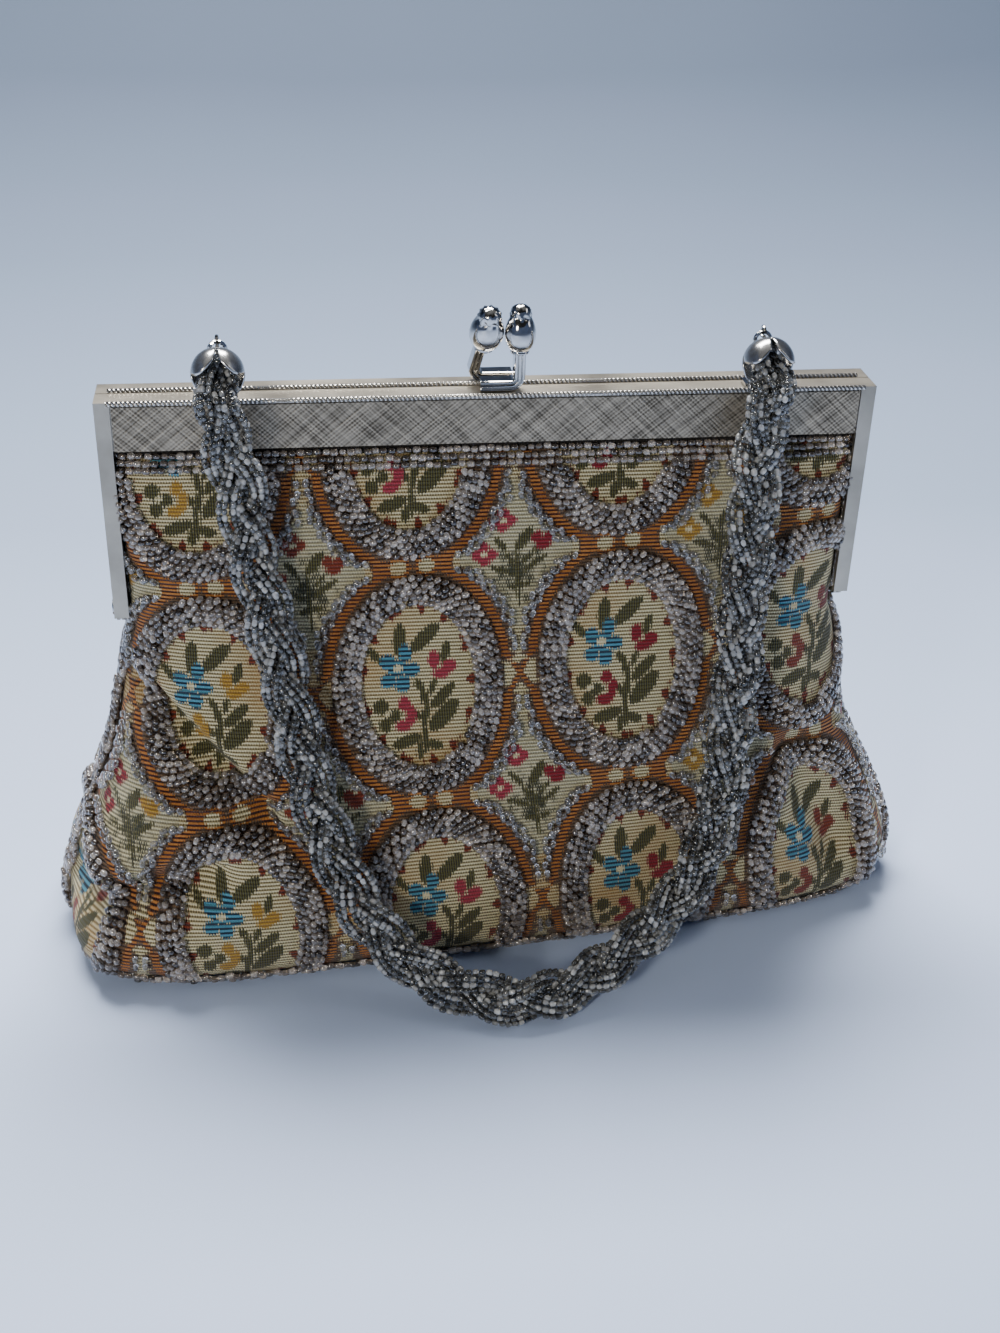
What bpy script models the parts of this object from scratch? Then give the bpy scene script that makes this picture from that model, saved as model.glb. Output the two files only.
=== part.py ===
"""Beaded evening bag: a hinged kiss-lock frame, a woven fabric body and a braided bead handle.

Metres. X runs across the bag, the front faces minus Y, and Z is up from the surface it stands on.
"""
import math

import bmesh
import bpy
from mathutils import Matrix, Vector
from mathutils.bvhtree import BVHTree

for old in list(bpy.data.objects):
    bpy.data.objects.remove(old, do_unlink=True)

# Fits
GAP = 0.0003
OVERRUN = 0.004
MERGE = 0.00001

# Frame
FRAME_WIDTH = 0.200
FRAME_TOP = 0.152
HALF_DEPTH = 0.0068
TOP_PLATE = 0.0010
SIDE_WALL = 0.0010
STRIP_WIDTH = 0.0038
STRIP_DEPTH = 0.0016
BAND_HEIGHT = 0.0130
BAND_RIM = 0.0010
BAND_RECESS = 0.0008
BAND_THICKNESS = 0.0004
ARM_LENGTH = 0.060
EYE_RADIUS = 0.0036
EYE_SET_IN = 0.0001
EYE_PLATE = 0.0011
NECK_HEIGHT = 0.0055
NECK_DEPTH = 0.0026
PIN_RADIUS = 0.0011
PIN_CLEARANCE = 0.00015
PIN_HEAD_RADIUS = 0.0021
PIN_HEAD = 0.0006

# Clasp
STRAP_THICKNESS = 0.0020
STRAP_WIDTH = 0.0044
STRAP_LENGTH = 0.0100
STRAP_BEND = 0.0024
KNOB_RISE = 0.0098
KNOB_HEIGHT = 0.0126
FRONT_KNOB_RADIUS = 0.0037
REAR_KNOB_RADIUS = 0.0041
FRONT_KNOB_X = 0.0062
REAR_KNOB_REACH = 0.0044
REAR_KNOB_TILT = math.radians(25)
REAR_KNOB_SIDE_TILT = math.radians(5)

# Fabric body
BELLY_WIDTH = 0.239
BELLY_DEPTH = 0.0864
BASE_TWIST = math.radians(6)
FABRIC = 0.0016
LINING = 0.0008
LINING_SLACK = 0.0010
TUCK = 0.010
POUCH_DROP = 0.005
FLAP_RISE = 0.020
LINING_FLOOR = 0.005
LINING_FLOOR_INSET = 0.007
EDGING_RADIUS = 0.0014
POCKET_LOW = 0.028
POCKET_HIGH = 0.074
POCKET_WIDTH_SHARES = (0.32, 0.68)

# Beaded rings of the weave, by the run across the cloth from its middle and up from its foot
RING_PITCH_ACROSS = 0.055
RING_PITCH_UP = 0.064
FIRST_RING_ACROSS = -0.0213
FIRST_RING_UP = 0.0873
RING_HALF_WIDTH = 0.0188
RING_HALF_HEIGHT = 0.0259
RING_BAND = 0.0078
RING_RELIEF = 0.0024
RING_SINK = 0.0012
RING_EDGE_CLEARANCE = 0.006
RING_SEAM_CLEARANCE = 0.0095
RING_FOLD_LIMIT = 0.0025
LEVEL_ROWS = 0.020
ROW_SLOPE_SHARE = 0.09
COLUMN_SLOPE_SHARE = -0.02

# Handle
LUG_X = 0.069
LUG_HEIGHT = 0.01405
LUG_WIDTH = 0.0040
LUG_WIRE = 0.00055
LUG_FOOT_WIDTH = 0.0080
LUG_FOOT_DEPTH = 0.0044
LUG_FOOT = 0.0008
EYE_WIRE = 0.0005
EYE_WRAP = math.radians(285)
EYE_TAIL = 0.0060
CAP_START = 0.0030
CAP_LENGTH = 0.0106
CAP_RADIUS = 0.0067
CAP_WALL = 0.0006
CAP_HOLE = 0.0009
CAP_TILT = math.radians(52)
PETAL_GAP = 0.0042
PETAL_GAP_TIP = 0.0003
PETAL_GAP_LENGTH = 0.0078
CORD_DIAMETER = 0.0130
CORD_LEAD = 0.0035
CORD_GAP = 0.0008

# Height, how far the width has grown from mouth to belly, the same for the depth, and squareness
SECTION_SHARES = (
    (0.000, 0.56, 0.76, 5.0),
    (0.014, 0.77, 0.89, 5.0),
    (0.050, 0.98, 0.99, 5.0),
    (0.115, 1.00, 1.00, 4.5),
    (0.216, 0.79, 0.90, 3.9),
    (0.324, 0.51, 0.77, 3.4),
    (0.432, 0.26, 0.63, 3.1),
    (0.547, 0.14, 0.48, 3.0),
    (0.604, 0.06, 0.41, 3.0),
    (0.635, 0.00, 0.37, 3.0),
    (0.662, 0.00, 0.34, 3.0),
    (0.863, 0.00, 0.15, 4.5),
    (1.000, 0.00, 0.00, 8.0),
)
HINGE_SHARE = 0.662
ROW_SHARES = (0.0, 0.014, 0.05, 0.115, 0.175, 0.24, 0.31, 0.38, 0.45, 0.53, 0.604, 0.662, 0.77, 0.88, 1.0)
TWIST_SHARES = (0.14, 0.63)

# Creases of the front: both ends across the belly's half width and up the panel, width and depth
CREASE_SHARES = (
    (-0.97, 0.47, -0.60, 0.37, 0.055, 0.050),
    (-0.97, 0.155, -0.70, 0.235, 0.045, 0.068),
    (0.56, 0.74, 0.60, 0.36, 0.050, 0.030),
    (0.70, 0.34, 0.82, 0.15, 0.050, 0.055),
)
# Section of a ring: the way across its band, and up from its sunken feet to its crest
RING_SECTION_SHARES = ((-0.5, 0), (-0.28, 1), (0.28, 1), (0.5, 0))
RING_COLUMNS = range(-2, 5)
RING_ROWS = range(-1, 2)
RING_STEPS = 96
RING_FACE_STEPS = 4
COLUMNS = 28
INNER_COLUMNS = 20
POCKET_COLUMNS = 8
CURVE_SAMPLES = 160
CLIMB_STEPS = 80
SETTLE_ROUNDS = 3

# Turned profiles: radius, then the height up a knob or the way from a cap's hole to its rim
KNOB_SHARES = ((0, 1), (0.3, 0.99), (0.56, 0.93), (0.66, 0.83), (0.68, 0.74), (0.84, 0.62), (0.97, 0.46),
               (1, 0.33), (0.94, 0.2), (0.8, 0.08), (0.68, 0.04), (0.66, 0), (0, 0))
CAP_OUTSIDE_SHARES = ((0.33, 0.02), (0.6, 0.1), (0.83, 0.27), (0.97, 0.52), (1, 0.75), (0.95, 1))
CAP_INSIDE_SHARES = ((0.95, 1), (1, 0.75), (0.97, 0.53), (0.8, 0.3), (0.55, 0.15))
CAP_HOLE_SHARE = 0.08

# Steps that round shapes are drawn with
ROD_SIDES = 24
KNOB_SIDES = 18
CAP_SIDES = 20
BEND_STEPS = 6
STAPLE_STEPS = 8
EYE_STEPS = 14
EDGING_STEPS = (7, 16)

# Route of the handle's centreline from cap to cap, chosen by eye
CORD_ROUTE = (
    (-0.0689, -0.0175, 0.1525), (-0.0676, -0.0168, 0.1450), (-0.0659, -0.0168, 0.1350),
    (-0.0633, -0.0198, 0.1190), (-0.0603, -0.0240, 0.1042), (-0.0572, -0.0282, 0.0890),
    (-0.0541, -0.0330, 0.0739), (-0.0509, -0.0397, 0.0595), (-0.0452, -0.0475, 0.0425),
    (-0.0379, -0.0545, 0.0268), (-0.0262, -0.0602, 0.0137), (-0.0122, -0.0665, 0.0080),
    (0.0016, -0.0700, 0.0069), (0.0157, -0.0670, 0.0073), (0.0310, -0.0595, 0.0112),
    (0.0452, -0.0510, 0.0192), (0.0550, -0.0445, 0.0312), (0.0606, -0.0388, 0.0460),
    (0.0624, -0.0338, 0.0620), (0.0640, -0.0295, 0.0780), (0.0648, -0.0256, 0.0940),
    (0.0654, -0.0225, 0.1102), (0.0664, -0.0200, 0.1260), (0.0674, -0.0168, 0.1385),
    (0.0684, -0.0175, 0.1510),
)
CORD_STEPS = 2

# Places worked out from the sizes
HALF_WIDTH = FRAME_WIDTH / 2
HINGE_HEIGHT = FRAME_TOP - ARM_LENGTH
PANEL_TOP = FRAME_TOP - BAND_HEIGHT
MOUTH_HALF = HALF_WIDTH - STRIP_WIDTH - GAP
MOUTH_DEPTH = HALF_DEPTH - STRIP_DEPTH - GAP
POUCH_TOP = HINGE_HEIGHT - POUCH_DROP
FLAP_BOTTOM = HINGE_HEIGHT + FLAP_RISE
LINING_INSET = FABRIC + LINING_SLACK
HALF_MIDDLE = HALF_DEPTH / 2
FOOT_LEVEL = FRAME_TOP + GAP
LUG_AXIS = Vector((0, -HALF_MIDDLE, FRAME_TOP + LUG_HEIGHT))
HINGE_AXIS = Vector((0, 0, HINGE_HEIGHT))
CAP_AXIS = Vector((0, -math.sin(CAP_TILT), -math.cos(CAP_TILT)))

collection = bpy.data.collections.new("beaded_evening_bag")
cutters = bpy.data.collections.new("cutters")
bpy.context.scene.collection.children.link(collection)
bpy.context.scene.collection.children.link(cutters)


def finish(name, colour, roughness, metallic):
    made = bpy.data.materials.new(name)
    made.use_nodes = True
    shader = made.node_tree.nodes["Principled BSDF"]
    shader.inputs["Base Color"].default_value = (*colour, 1)
    shader.inputs["Roughness"].default_value = roughness
    shader.inputs["Metallic"].default_value = metallic
    return made


SATIN_METAL = finish("satin_metal", (0.56, 0.54, 0.50), 0.32, 1)
ENGRAVED_METAL = finish("engraved_metal", (0.42, 0.40, 0.36), 0.45, 1)
POLISHED_METAL = finish("polished_metal", (0.75, 0.75, 0.75), 0.12, 1)
TAPESTRY = finish("tapestry", (0.62, 0.53, 0.36), 0.8, 0)
SATIN_LINING = finish("satin_lining", (0.72, 0.66, 0.52), 0.45, 0)
GLASS_BEADS = finish("glass_beads", (0.62, 0.60, 0.62), 0.15, 0)


def empty(name, place):
    pivot = bpy.data.objects.new(name, None)
    pivot.location = place
    collection.objects.link(pivot)
    return pivot


REAR_PIVOT = empty("rear_pivot", HINGE_AXIS)
HANDLE_PIVOT = empty("handle_pivot", LUG_AXIS)


def part(name, data, material, pivot=None):
    """Add a finished mesh or curve, modelled in place, under the pivot that it turns with."""
    made = bpy.data.objects.new(name, data)
    data.materials.append(material)
    collection.objects.link(made)
    if pivot:
        data.transform(Matrix.Translation(-pivot.location))
        made.parent = pivot
    return made


def mesh_of(shape, name, smooth=False):
    data = bpy.data.meshes.new(name)
    shape.to_mesh(data)
    shape.free()
    if smooth:
        data.shade_smooth()
    return data


def cutter(name, shape):
    made = bpy.data.objects.new(name, mesh_of(shape, name))
    made.hide_render = True
    made.display_type = 'WIRE'
    cutters.objects.link(made)
    return made


def combine(target, tool, operation):
    boolean = target.modifiers.new(operation.lower(), 'BOOLEAN')
    boolean.operation = operation
    boolean.object = tool
    boolean.solver = 'EXACT'


def add_box(shape, low, high):
    lows = Vector(min(pair) for pair in zip(low, high))
    highs = Vector(max(pair) for pair in zip(low, high))
    size = Matrix.Diagonal((*(highs - lows), 1))
    bmesh.ops.create_cube(shape, size=1, matrix=Matrix.Translation((lows + highs) / 2) @ size)


def add_rod(shape, start, end, radius):
    """A round bar across the bag at the hinge's height, between two places in X."""
    turn = Matrix.Rotation(math.pi / 2, 4, 'Y')
    bmesh.ops.create_cone(shape, cap_ends=True, segments=ROD_SIDES, radius1=radius, radius2=radius,
                          depth=abs(end - start),
                          matrix=Matrix.Translation(((start + end) / 2, 0, HINGE_HEIGHT)) @ turn)


def wire(points, radius, resolution=2):
    """A curve's data for a round wire with filled ends along straight steps."""
    data = bpy.data.curves.new("wire", 'CURVE')
    data.dimensions = '3D'
    data.bevel_depth = radius
    data.bevel_resolution = resolution
    data.use_fill_caps = True
    spline = data.splines.new('POLY')
    spline.points.add(len(points) - 1)
    for place, point in zip(points, spline.points):
        point.co = (*place, 1)
    return data


def outline_plate(points, thickness):
    """A curve's data for a flat outline in X and Z, with its thickness along Y."""
    data = bpy.data.curves.new("plate", 'CURVE')
    data.dimensions = '2D'
    data.fill_mode = 'BOTH'
    data.extrude = thickness / 2
    spline = data.splines.new('POLY')
    spline.points.add(len(points) - 1)
    spline.use_cyclic_u = True
    for (x, z), point in zip(points, spline.points):
        point.co = (x, z, 0, 1)
    return data


def solid_from_curve(data, name, matrix=Matrix()):
    """Turn a curve's data into a closed mesh in place."""
    guide = bpy.data.objects.new(name, data)
    cutters.objects.link(guide)
    guide.matrix_world = matrix
    bpy.context.view_layer.update()
    seen = guide.evaluated_get(bpy.context.evaluated_depsgraph_get())
    made = bpy.data.meshes.new_from_object(seen)
    made.transform(matrix)
    bpy.data.objects.remove(guide, do_unlink=True)
    shape = bmesh.new()
    shape.from_mesh(made)
    bmesh.ops.remove_doubles(shape, verts=shape.verts, dist=MERGE)
    bmesh.ops.recalc_face_normals(shape, faces=shape.faces)
    shape.to_mesh(made)
    shape.free()
    made.materials.clear()
    return made


def turned(name, profile, material, segments, pivot=None):
    """A turned piece about its own Z from radius and height pairs, run down its outer side."""
    shape = bmesh.new()
    corners = [shape.verts.new((radius, 0, height)) for radius, height in profile]
    closed = profile[0][0] > 0
    ends = corners[1:] + corners[:1] if closed else corners[1:]
    for first, second in zip(corners, ends):
        shape.edges.new((first, second))
    made = bpy.data.objects.new(name, mesh_of(shape, name))
    made.data.materials.append(material)
    collection.objects.link(made)
    screw = made.modifiers.new("turn", 'SCREW')
    screw.steps = segments
    screw.render_steps = segments
    screw.use_merge_vertices = True
    screw.merge_threshold = MERGE
    screw.use_smooth_shade = True
    if pivot:
        made.parent = pivot
    return made


def height_share(height):
    """The share of the way up the panel that the tables use; the hinge stays at a share of its own."""
    below = min(height, HINGE_HEIGHT)
    above = (height - below) / (PANEL_TOP - HINGE_HEIGHT)
    return HINGE_SHARE * below / HINGE_HEIGHT + (1 - HINGE_SHARE) * above


def height_of(share):
    """The height where the tables' share stands."""
    below = min(share, HINGE_SHARE)
    above = (share - below) / (1 - HINGE_SHARE)
    return HINGE_HEIGHT * below / HINGE_SHARE + (PANEL_TOP - HINGE_HEIGHT) * above


def smooth_row(share):
    """The body's section shares at one height, on a smooth curve through the table."""
    table = SECTION_SHARES
    at = min(max(share, table[0][0]), table[-1][0])
    low = max(i for i in range(len(table) - 1) if table[i][0] <= at)
    start, end = table[low], table[low + 1]
    before = table[max(low - 1, 0)]
    after = table[min(low + 2, len(table) - 1)]
    span = end[0] - start[0]
    t = (at - start[0]) / span
    row = []
    for k in (1, 2, 3):
        slope_in = (end[k] - before[k]) / (end[0] - before[0]) * span
        slope_out = (after[k] - start[k]) / (after[0] - start[0]) * span
        if (end[k] - start[k]) * slope_in <= 0:
            slope_in = 0
        if (end[k] - start[k]) * slope_out <= 0:
            slope_out = 0
        row.append((2 * t**3 - 3 * t**2 + 1) * start[k] + (t**3 - 2 * t**2 + t) * slope_in
                   + (3 * t**2 - 2 * t**3) * end[k] + (t**3 - t**2) * slope_out)
    return row


def section(height, inset=0):
    """Half width, half depth and squareness of the body at one height."""
    widen, deepen, squareness = smooth_row(height_share(height))
    half_width = MOUTH_HALF + widen * (BELLY_WIDTH / 2 - MOUTH_HALF) - inset
    half_depth = MOUTH_DEPTH + deepen * (BELLY_DEPTH / 2 - MOUTH_DEPTH) - inset
    return half_width, half_depth, squareness


def twist(height):
    """The soft base stands turned against the frame."""
    low, high = TWIST_SHARES
    t = min(max((high - height_share(height)) / (high - low), 0), 1)
    return BASE_TWIST * t * t * (3 - 2 * t)


def crease_depth(x, height, inset):
    """How far the front is drawn in where its fabric folds; a layer inside folds more widely."""
    depth = 0
    for x1, z1, x2, z2, width, deep in CREASE_SHARES:
        start = Vector((x1 * BELLY_WIDTH / 2, z1 * PANEL_TOP))
        line = Vector((x2 * BELLY_WIDTH / 2, z2 * PANEL_TOP)) - start
        offset = Vector((x, height)) - start
        along = min(max(offset.dot(line) / line.length_squared, 0), 1)
        away = (offset - along * line).length / (width * PANEL_TOP + inset)
        depth = max(depth, deep * BELLY_DEPTH * math.exp(-away * away))
    return depth


def girth(height, side, inset=0):
    """Close points across one side at one height, from left to right, and the run to each."""
    half_width, half_depth, squareness = section(height, inset)
    power = 2 / squareness
    points = []
    for i in range(CURVE_SAMPLES + 1):
        angle = math.pi * (1 - i / CURVE_SAMPLES)
        x = math.copysign(abs(math.cos(angle)) ** power, math.cos(angle)) * half_width
        y = side * abs(math.sin(angle)) ** power * half_depth if 0 < i < CURVE_SAMPLES else 0
        points.append(Vector((x, y, height)))
    runs = [0]
    for a, b in zip(points, points[1:]):
        runs.append(runs[-1] + (b - a).length)
    return points, runs


def on_girth(points, runs, want, side, inset=0):
    """The place at a run along a girth, drawn in by the front's folds and turned with the base."""
    k = max(i for i in range(CURVE_SAMPLES) if runs[i] <= max(want, 0))
    share = (want - runs[k]) / (runs[k + 1] - runs[k])
    place = points[k].lerp(points[k + 1], share)
    height = place.z
    if side < 0:
        along = (points[k + 1] - points[k]).normalized()
        place += Vector((-along.y, along.x, 0)) * crease_depth(place.x, height, inset)
    return Matrix.Rotation(twist(height), 3, 'Z') @ place


def half_ring(height, side, inset=0, shares=(0, 1), trim=0, columns=COLUMNS):
    """Points across the front, side -1, or the rear, side 1, from left to right, closer near the seams."""
    points, runs = girth(height, side, inset)
    first = trim + shares[0] * (runs[-1] - 2 * trim)
    last = trim + shares[1] * (runs[-1] - 2 * trim)
    ring = []
    for i in range(columns + 1):
        want = first + (last - first) * (1 - math.cos(math.pi * i / columns)) / 2
        ring.append(on_girth(points, runs, want, side, inset))
    return ring


def rows(low, high):
    """Heights of the skin's rows between two levels."""
    inner = [height_of(share) for share in ROW_SHARES]
    return [low] + [z for z in inner if low + FABRIC < z < high - FABRIC] + [high]


def loft(rings, closed=False, floor=False, inside_out=False):
    """A skin through rings with equal counts of points."""
    shape = bmesh.new()
    levels = [[shape.verts.new(place) for place in ring] for ring in rings]
    for lower, upper in zip(levels, levels[1:]):
        count = len(lower) if closed else len(lower) - 1
        for i in range(count):
            j = (i + 1) % len(lower)
            shape.faces.new((lower[i], lower[j], upper[j], upper[i]))
    if floor:
        shape.faces.new(reversed(levels[0]))
    if inside_out:
        bmesh.ops.reverse_faces(shape, faces=shape.faces)
    return shape


def skin(name, side, low, high, inset, wall, material, pivot=None, shares=(0, 1), columns=COLUMNS,
         ringed=False):
    """One fabric wall of the body with its thickness inward, and its beaded rings where it has them."""
    rings = [half_ring(z, side, inset, shares, GAP / 2, columns) for z in rows(low, high)]
    shape = loft(rings, inside_out=side > 0)
    relief = ring_relief(shape, side, low, min(high, PANEL_TOP)) if ringed else None
    made = part(name, mesh_of(shape, name, smooth=True), material, pivot)
    thicken(made, wall)
    if relief:
        combine(made, cutter(name + "_rings", relief), 'UNION')
    return made


def climb_table(side):
    """Runs of cloth up the middle of one side, each with the height that it reaches."""
    table = []
    run = 0
    last = half_ring(0, side, columns=2)[1]
    for i in range(CLIMB_STEPS + 1):
        height = PANEL_TOP * i / CLIMB_STEPS
        place = half_ring(height, side, columns=2)[1]
        run += (place - last).length
        table.append((run, height))
        last = place
    return table


def height_on(table, up):
    """The height at a run of cloth up from the foot, or None off the cloth."""
    for (run, height), (next_run, next_height) in zip(table, table[1:]):
        if run <= up <= next_run:
            return height + (up - run) / (next_run - run) * (next_height - height)
    return None


def ring_place(column, row, angle, out):
    """Across and up the cloth to a point of an oval ring, by its angle and its way out of the band."""
    x = math.cos(angle) * (RING_HALF_WIDTH + out)
    level = FIRST_RING_UP + RING_PITCH_UP * row + math.sin(angle) * (RING_HALF_HEIGHT + out)
    up = level
    for _ in range(SETTLE_ROUNDS):
        drift = COLUMN_SLOPE_SHARE * (up - FIRST_RING_UP)
        across = FIRST_RING_ACROSS + RING_PITCH_ACROSS * column + drift + x
        grown = min(max((up - LEVEL_ROWS) / (FIRST_RING_UP - LEVEL_ROWS), 0), 1)
        up = level + ROW_SLOPE_SHARE * across * grown
    return across, up


def ring_section(tree, table, side, floor, ceiling, column, row, angle):
    """Corners of a ring's section on the cloth, or None off the panel and where a fold takes it in."""
    corners = []
    for wide, tall in RING_SECTION_SHARES:
        across, up = ring_place(column, row, angle, wide * RING_BAND)
        height = height_on(table, up)
        if height is None or not floor < height < ceiling:
            return None
        points, runs = girth(height, side)
        if abs(across) > runs[-1] / 2 - RING_SEAM_CLEARANCE:
            return None
        place = on_girth(points, runs, runs[-1] / 2 + across, side)
        unturned = Matrix.Rotation(-twist(height), 3, 'Z') @ place
        if side < 0 and crease_depth(unturned.x, height, 0) > RING_FOLD_LIMIT:
            return None
        place, out = tree.find_nearest(place)[:2]
        corners.append(place + out * (tall * (RING_RELIEF + RING_SINK) - RING_SINK))
    return corners


def add_ridge(shape, sections, all_round):
    """A closed ridge through its sections; one that goes all round has no ends."""
    loops = [[shape.verts.new(place) for place in corners] for corners in sections]
    for first, second in zip(loops, loops[1:] + loops[:1] if all_round else loops[1:]):
        for i in range(len(first)):
            j = (i + 1) % len(first)
            shape.faces.new((first[i], first[j], second[j], second[i]))
    if not all_round:
        shape.faces.new(reversed(loops[0]))
        shape.faces.new(loops[-1])


def ring_relief(cloth, side, low, high):
    """Every stretch of the weave's beaded rings that lies on one panel, as ridges sunk into it."""
    cloth.normal_update()
    tree = BVHTree.FromBMesh(cloth)
    table = climb_table(side)
    floor, ceiling = low + RING_EDGE_CLEARANCE, high - RING_EDGE_CLEARANCE
    relief = bmesh.new()
    for column in RING_COLUMNS:
        for row in RING_ROWS:
            sections = [ring_section(tree, table, side, floor, ceiling, column, row,
                                     2 * math.pi * k / RING_STEPS) for k in range(RING_STEPS)]
            if None not in sections:
                add_ridge(relief, sections[::RING_FACE_STEPS], True)
                continue
            missing = sections.index(None)
            turned_round = sections[missing:] + sections[:missing] + [None]
            stretch = []
            for corners in turned_round:
                if corners:
                    stretch.append(corners)
                    continue
                if len(stretch) > RING_FACE_STEPS:
                    add_ridge(relief, stretch[:-1:RING_FACE_STEPS] + stretch[-1:], False)
                stretch = []
    bmesh.ops.recalc_face_normals(relief, faces=relief.faces)
    return relief


def thicken(made, wall):
    solidify = made.modifiers.new("wall", 'SOLIDIFY')
    solidify.thickness = wall
    solidify.offset = -1


def full_ring(height, inset):
    """Points all round the body, front then rear."""
    front = half_ring(height, -1, inset)
    rear = half_ring(height, 1, inset)
    return front + rear[-2:0:-1]


def frame_half(name, side, material, pivot=None):
    """A channel of sheet metal: top plate, front wall with a recess, and two arms with hinge eyes."""
    outer, inner = side * HALF_DEPTH, side * GAP / 2
    arm_end = HINGE_HEIGHT if side < 0 else HINGE_HEIGHT + EYE_RADIUS + 2 * GAP
    wall_face = HALF_WIDTH - SIDE_WALL
    shape = bmesh.new()
    add_box(shape, (-HALF_WIDTH, outer, arm_end), (HALF_WIDTH, inner, FRAME_TOP))
    made = part(name, mesh_of(shape, name), material, pivot)

    pocket = bmesh.new()
    add_box(pocket, (-wall_face, side * (HALF_DEPTH - STRIP_DEPTH), arm_end - OVERRUN),
            (wall_face, -side * OVERRUN, FRAME_TOP - TOP_PLATE))
    combine(made, cutter(name + "_pocket", pocket), 'DIFFERENCE')

    opening = bmesh.new()
    window = HALF_WIDTH - STRIP_WIDTH
    add_box(opening, (-window, outer + side * OVERRUN, arm_end - OVERRUN),
            (window, -side * OVERRUN, PANEL_TOP))
    combine(made, cutter(name + "_opening", opening), 'DIFFERENCE')

    recess = bmesh.new()
    add_box(recess, (-window + EYE_SET_IN, outer + side * OVERRUN, PANEL_TOP - OVERRUN),
            (window - EYE_SET_IN, outer - side * BAND_RECESS, FRAME_TOP - BAND_RIM))
    combine(made, cutter(name + "_recess", recess), 'DIFFERENCE')

    eyes = bmesh.new()
    plates = bmesh.new()
    holes = bmesh.new()
    for end in (-1, 1):
        if side < 0:
            eye_span = (wall_face + EYE_SET_IN, HALF_WIDTH - EYE_SET_IN)
        else:
            plate_out = wall_face - GAP
            plate_in = plate_out - EYE_PLATE
            neck_low = HINGE_HEIGHT + EYE_RADIUS + 3 * GAP
            eye_span = (plate_in + EYE_SET_IN, plate_out - EYE_SET_IN)
            add_box(plates, (end * plate_in, 2 * GAP, HINGE_HEIGHT),
                    (end * plate_out, NECK_DEPTH, neck_low + NECK_HEIGHT))
            add_box(eyes, (end * (plate_in + EYE_PLATE / 2), 3 * GAP, neck_low),
                    (end * (HALF_WIDTH - SIDE_WALL / 2), NECK_DEPTH - GAP, neck_low + NECK_HEIGHT - GAP))
        add_rod(eyes, end * eye_span[0], end * eye_span[1], EYE_RADIUS)
        add_rod(holes, end * (wall_face - OVERRUN), end * (HALF_WIDTH + OVERRUN),
                PIN_RADIUS + PIN_CLEARANCE)
    if side > 0:
        combine(made, cutter(name + "_eye_plates", plates), 'UNION')
    else:
        plates.free()
    combine(made, cutter(name + "_eyes", eyes), 'UNION')
    combine(made, cutter(name + "_pin_holes", holes), 'DIFFERENCE')
    return made


def band(name, side, material, pivot=None):
    """The engraved plate in the recess of a half's wall."""
    shape = bmesh.new()
    back = HALF_DEPTH - BAND_RECESS + GAP
    reach = HALF_WIDTH - STRIP_WIDTH - GAP - EYE_SET_IN
    add_box(shape, (-reach, side * back, PANEL_TOP),
            (reach, side * (back + BAND_THICKNESS), FRAME_TOP - BAND_RIM - GAP))
    part(name, mesh_of(shape, name), material, pivot)


def hinge_pin(name, end):
    """A rivet through both eyes, headed on the outside."""
    shape = bmesh.new()
    inner = HALF_WIDTH - SIDE_WALL - GAP - EYE_PLATE - GAP
    head = HALF_WIDTH + GAP
    add_rod(shape, end * inner, end * (head + PIN_HEAD / 2), PIN_RADIUS)
    pin = part(name, mesh_of(shape, name), POLISHED_METAL)
    cap = bmesh.new()
    add_rod(cap, end * head, end * (head + PIN_HEAD), PIN_HEAD_RADIUS)
    combine(pin, cutter(name + "_head", cap), 'UNION')


def strap_outline(path, thickness):
    """Both edges of a bent strap whose centreline is given in X and Z."""
    left, right = [], []
    for i, place in enumerate(path):
        before = Vector(path[max(i - 1, 0)])
        after = Vector(path[min(i + 1, len(path) - 1)])
        along = (after - before).normalized()
        across = Vector((-along.y, along.x)) * thickness / 2
        left.append(Vector(place) + across)
        right.append(Vector(place) - across)
    return left + right[::-1]


def strap_path(start_x, post_x, top, lean=0):
    """Along the frame's top, round the bend and up the post."""
    level = FOOT_LEVEL + STRAP_THICKNESS / 2
    way = 1 if post_x > start_x else -1
    path = [(start_x, level), (post_x - way * STRAP_BEND, level)]
    for i in range(1, BEND_STEPS + 1):
        angle = math.pi / 2 * i / BEND_STEPS
        path.append((post_x - way * STRAP_BEND * (1 - math.sin(angle)),
                     level + STRAP_BEND * (1 - math.cos(angle))))
    path.append((post_x + lean, top))
    return path


def clasp_post(name, side, path, lean, material, pivot=None):
    """A strap on the half's top plate that rises as the knob's post; the rear one leans forward."""
    outline = strap_outline(path, STRAP_THICKNESS)
    upright = Matrix.Translation((0, side * HALF_MIDDLE, 0)) @ Matrix.Rotation(math.pi / 2, 4, 'X')
    data = solid_from_curve(outline_plate(outline, STRAP_WIDTH), name, upright)
    start = FOOT_LEVEL + STRAP_THICKNESS
    for vertex in data.vertices:
        vertex.co.y -= lean * max(vertex.co.z - start, 0)
    part(name, data, material, pivot)


def knob(name, radius, place, tilts, pivot=None):
    """An acorn knob: flat collar, round waist and a small crown."""
    profile = [(out * radius, up * KNOB_HEIGHT) for out, up in KNOB_SHARES]
    made = turned(name, profile, POLISHED_METAL, KNOB_SIDES, pivot)
    made.location = place - pivot.location if pivot else place
    made.rotation_euler = (*tilts, 0)


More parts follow.
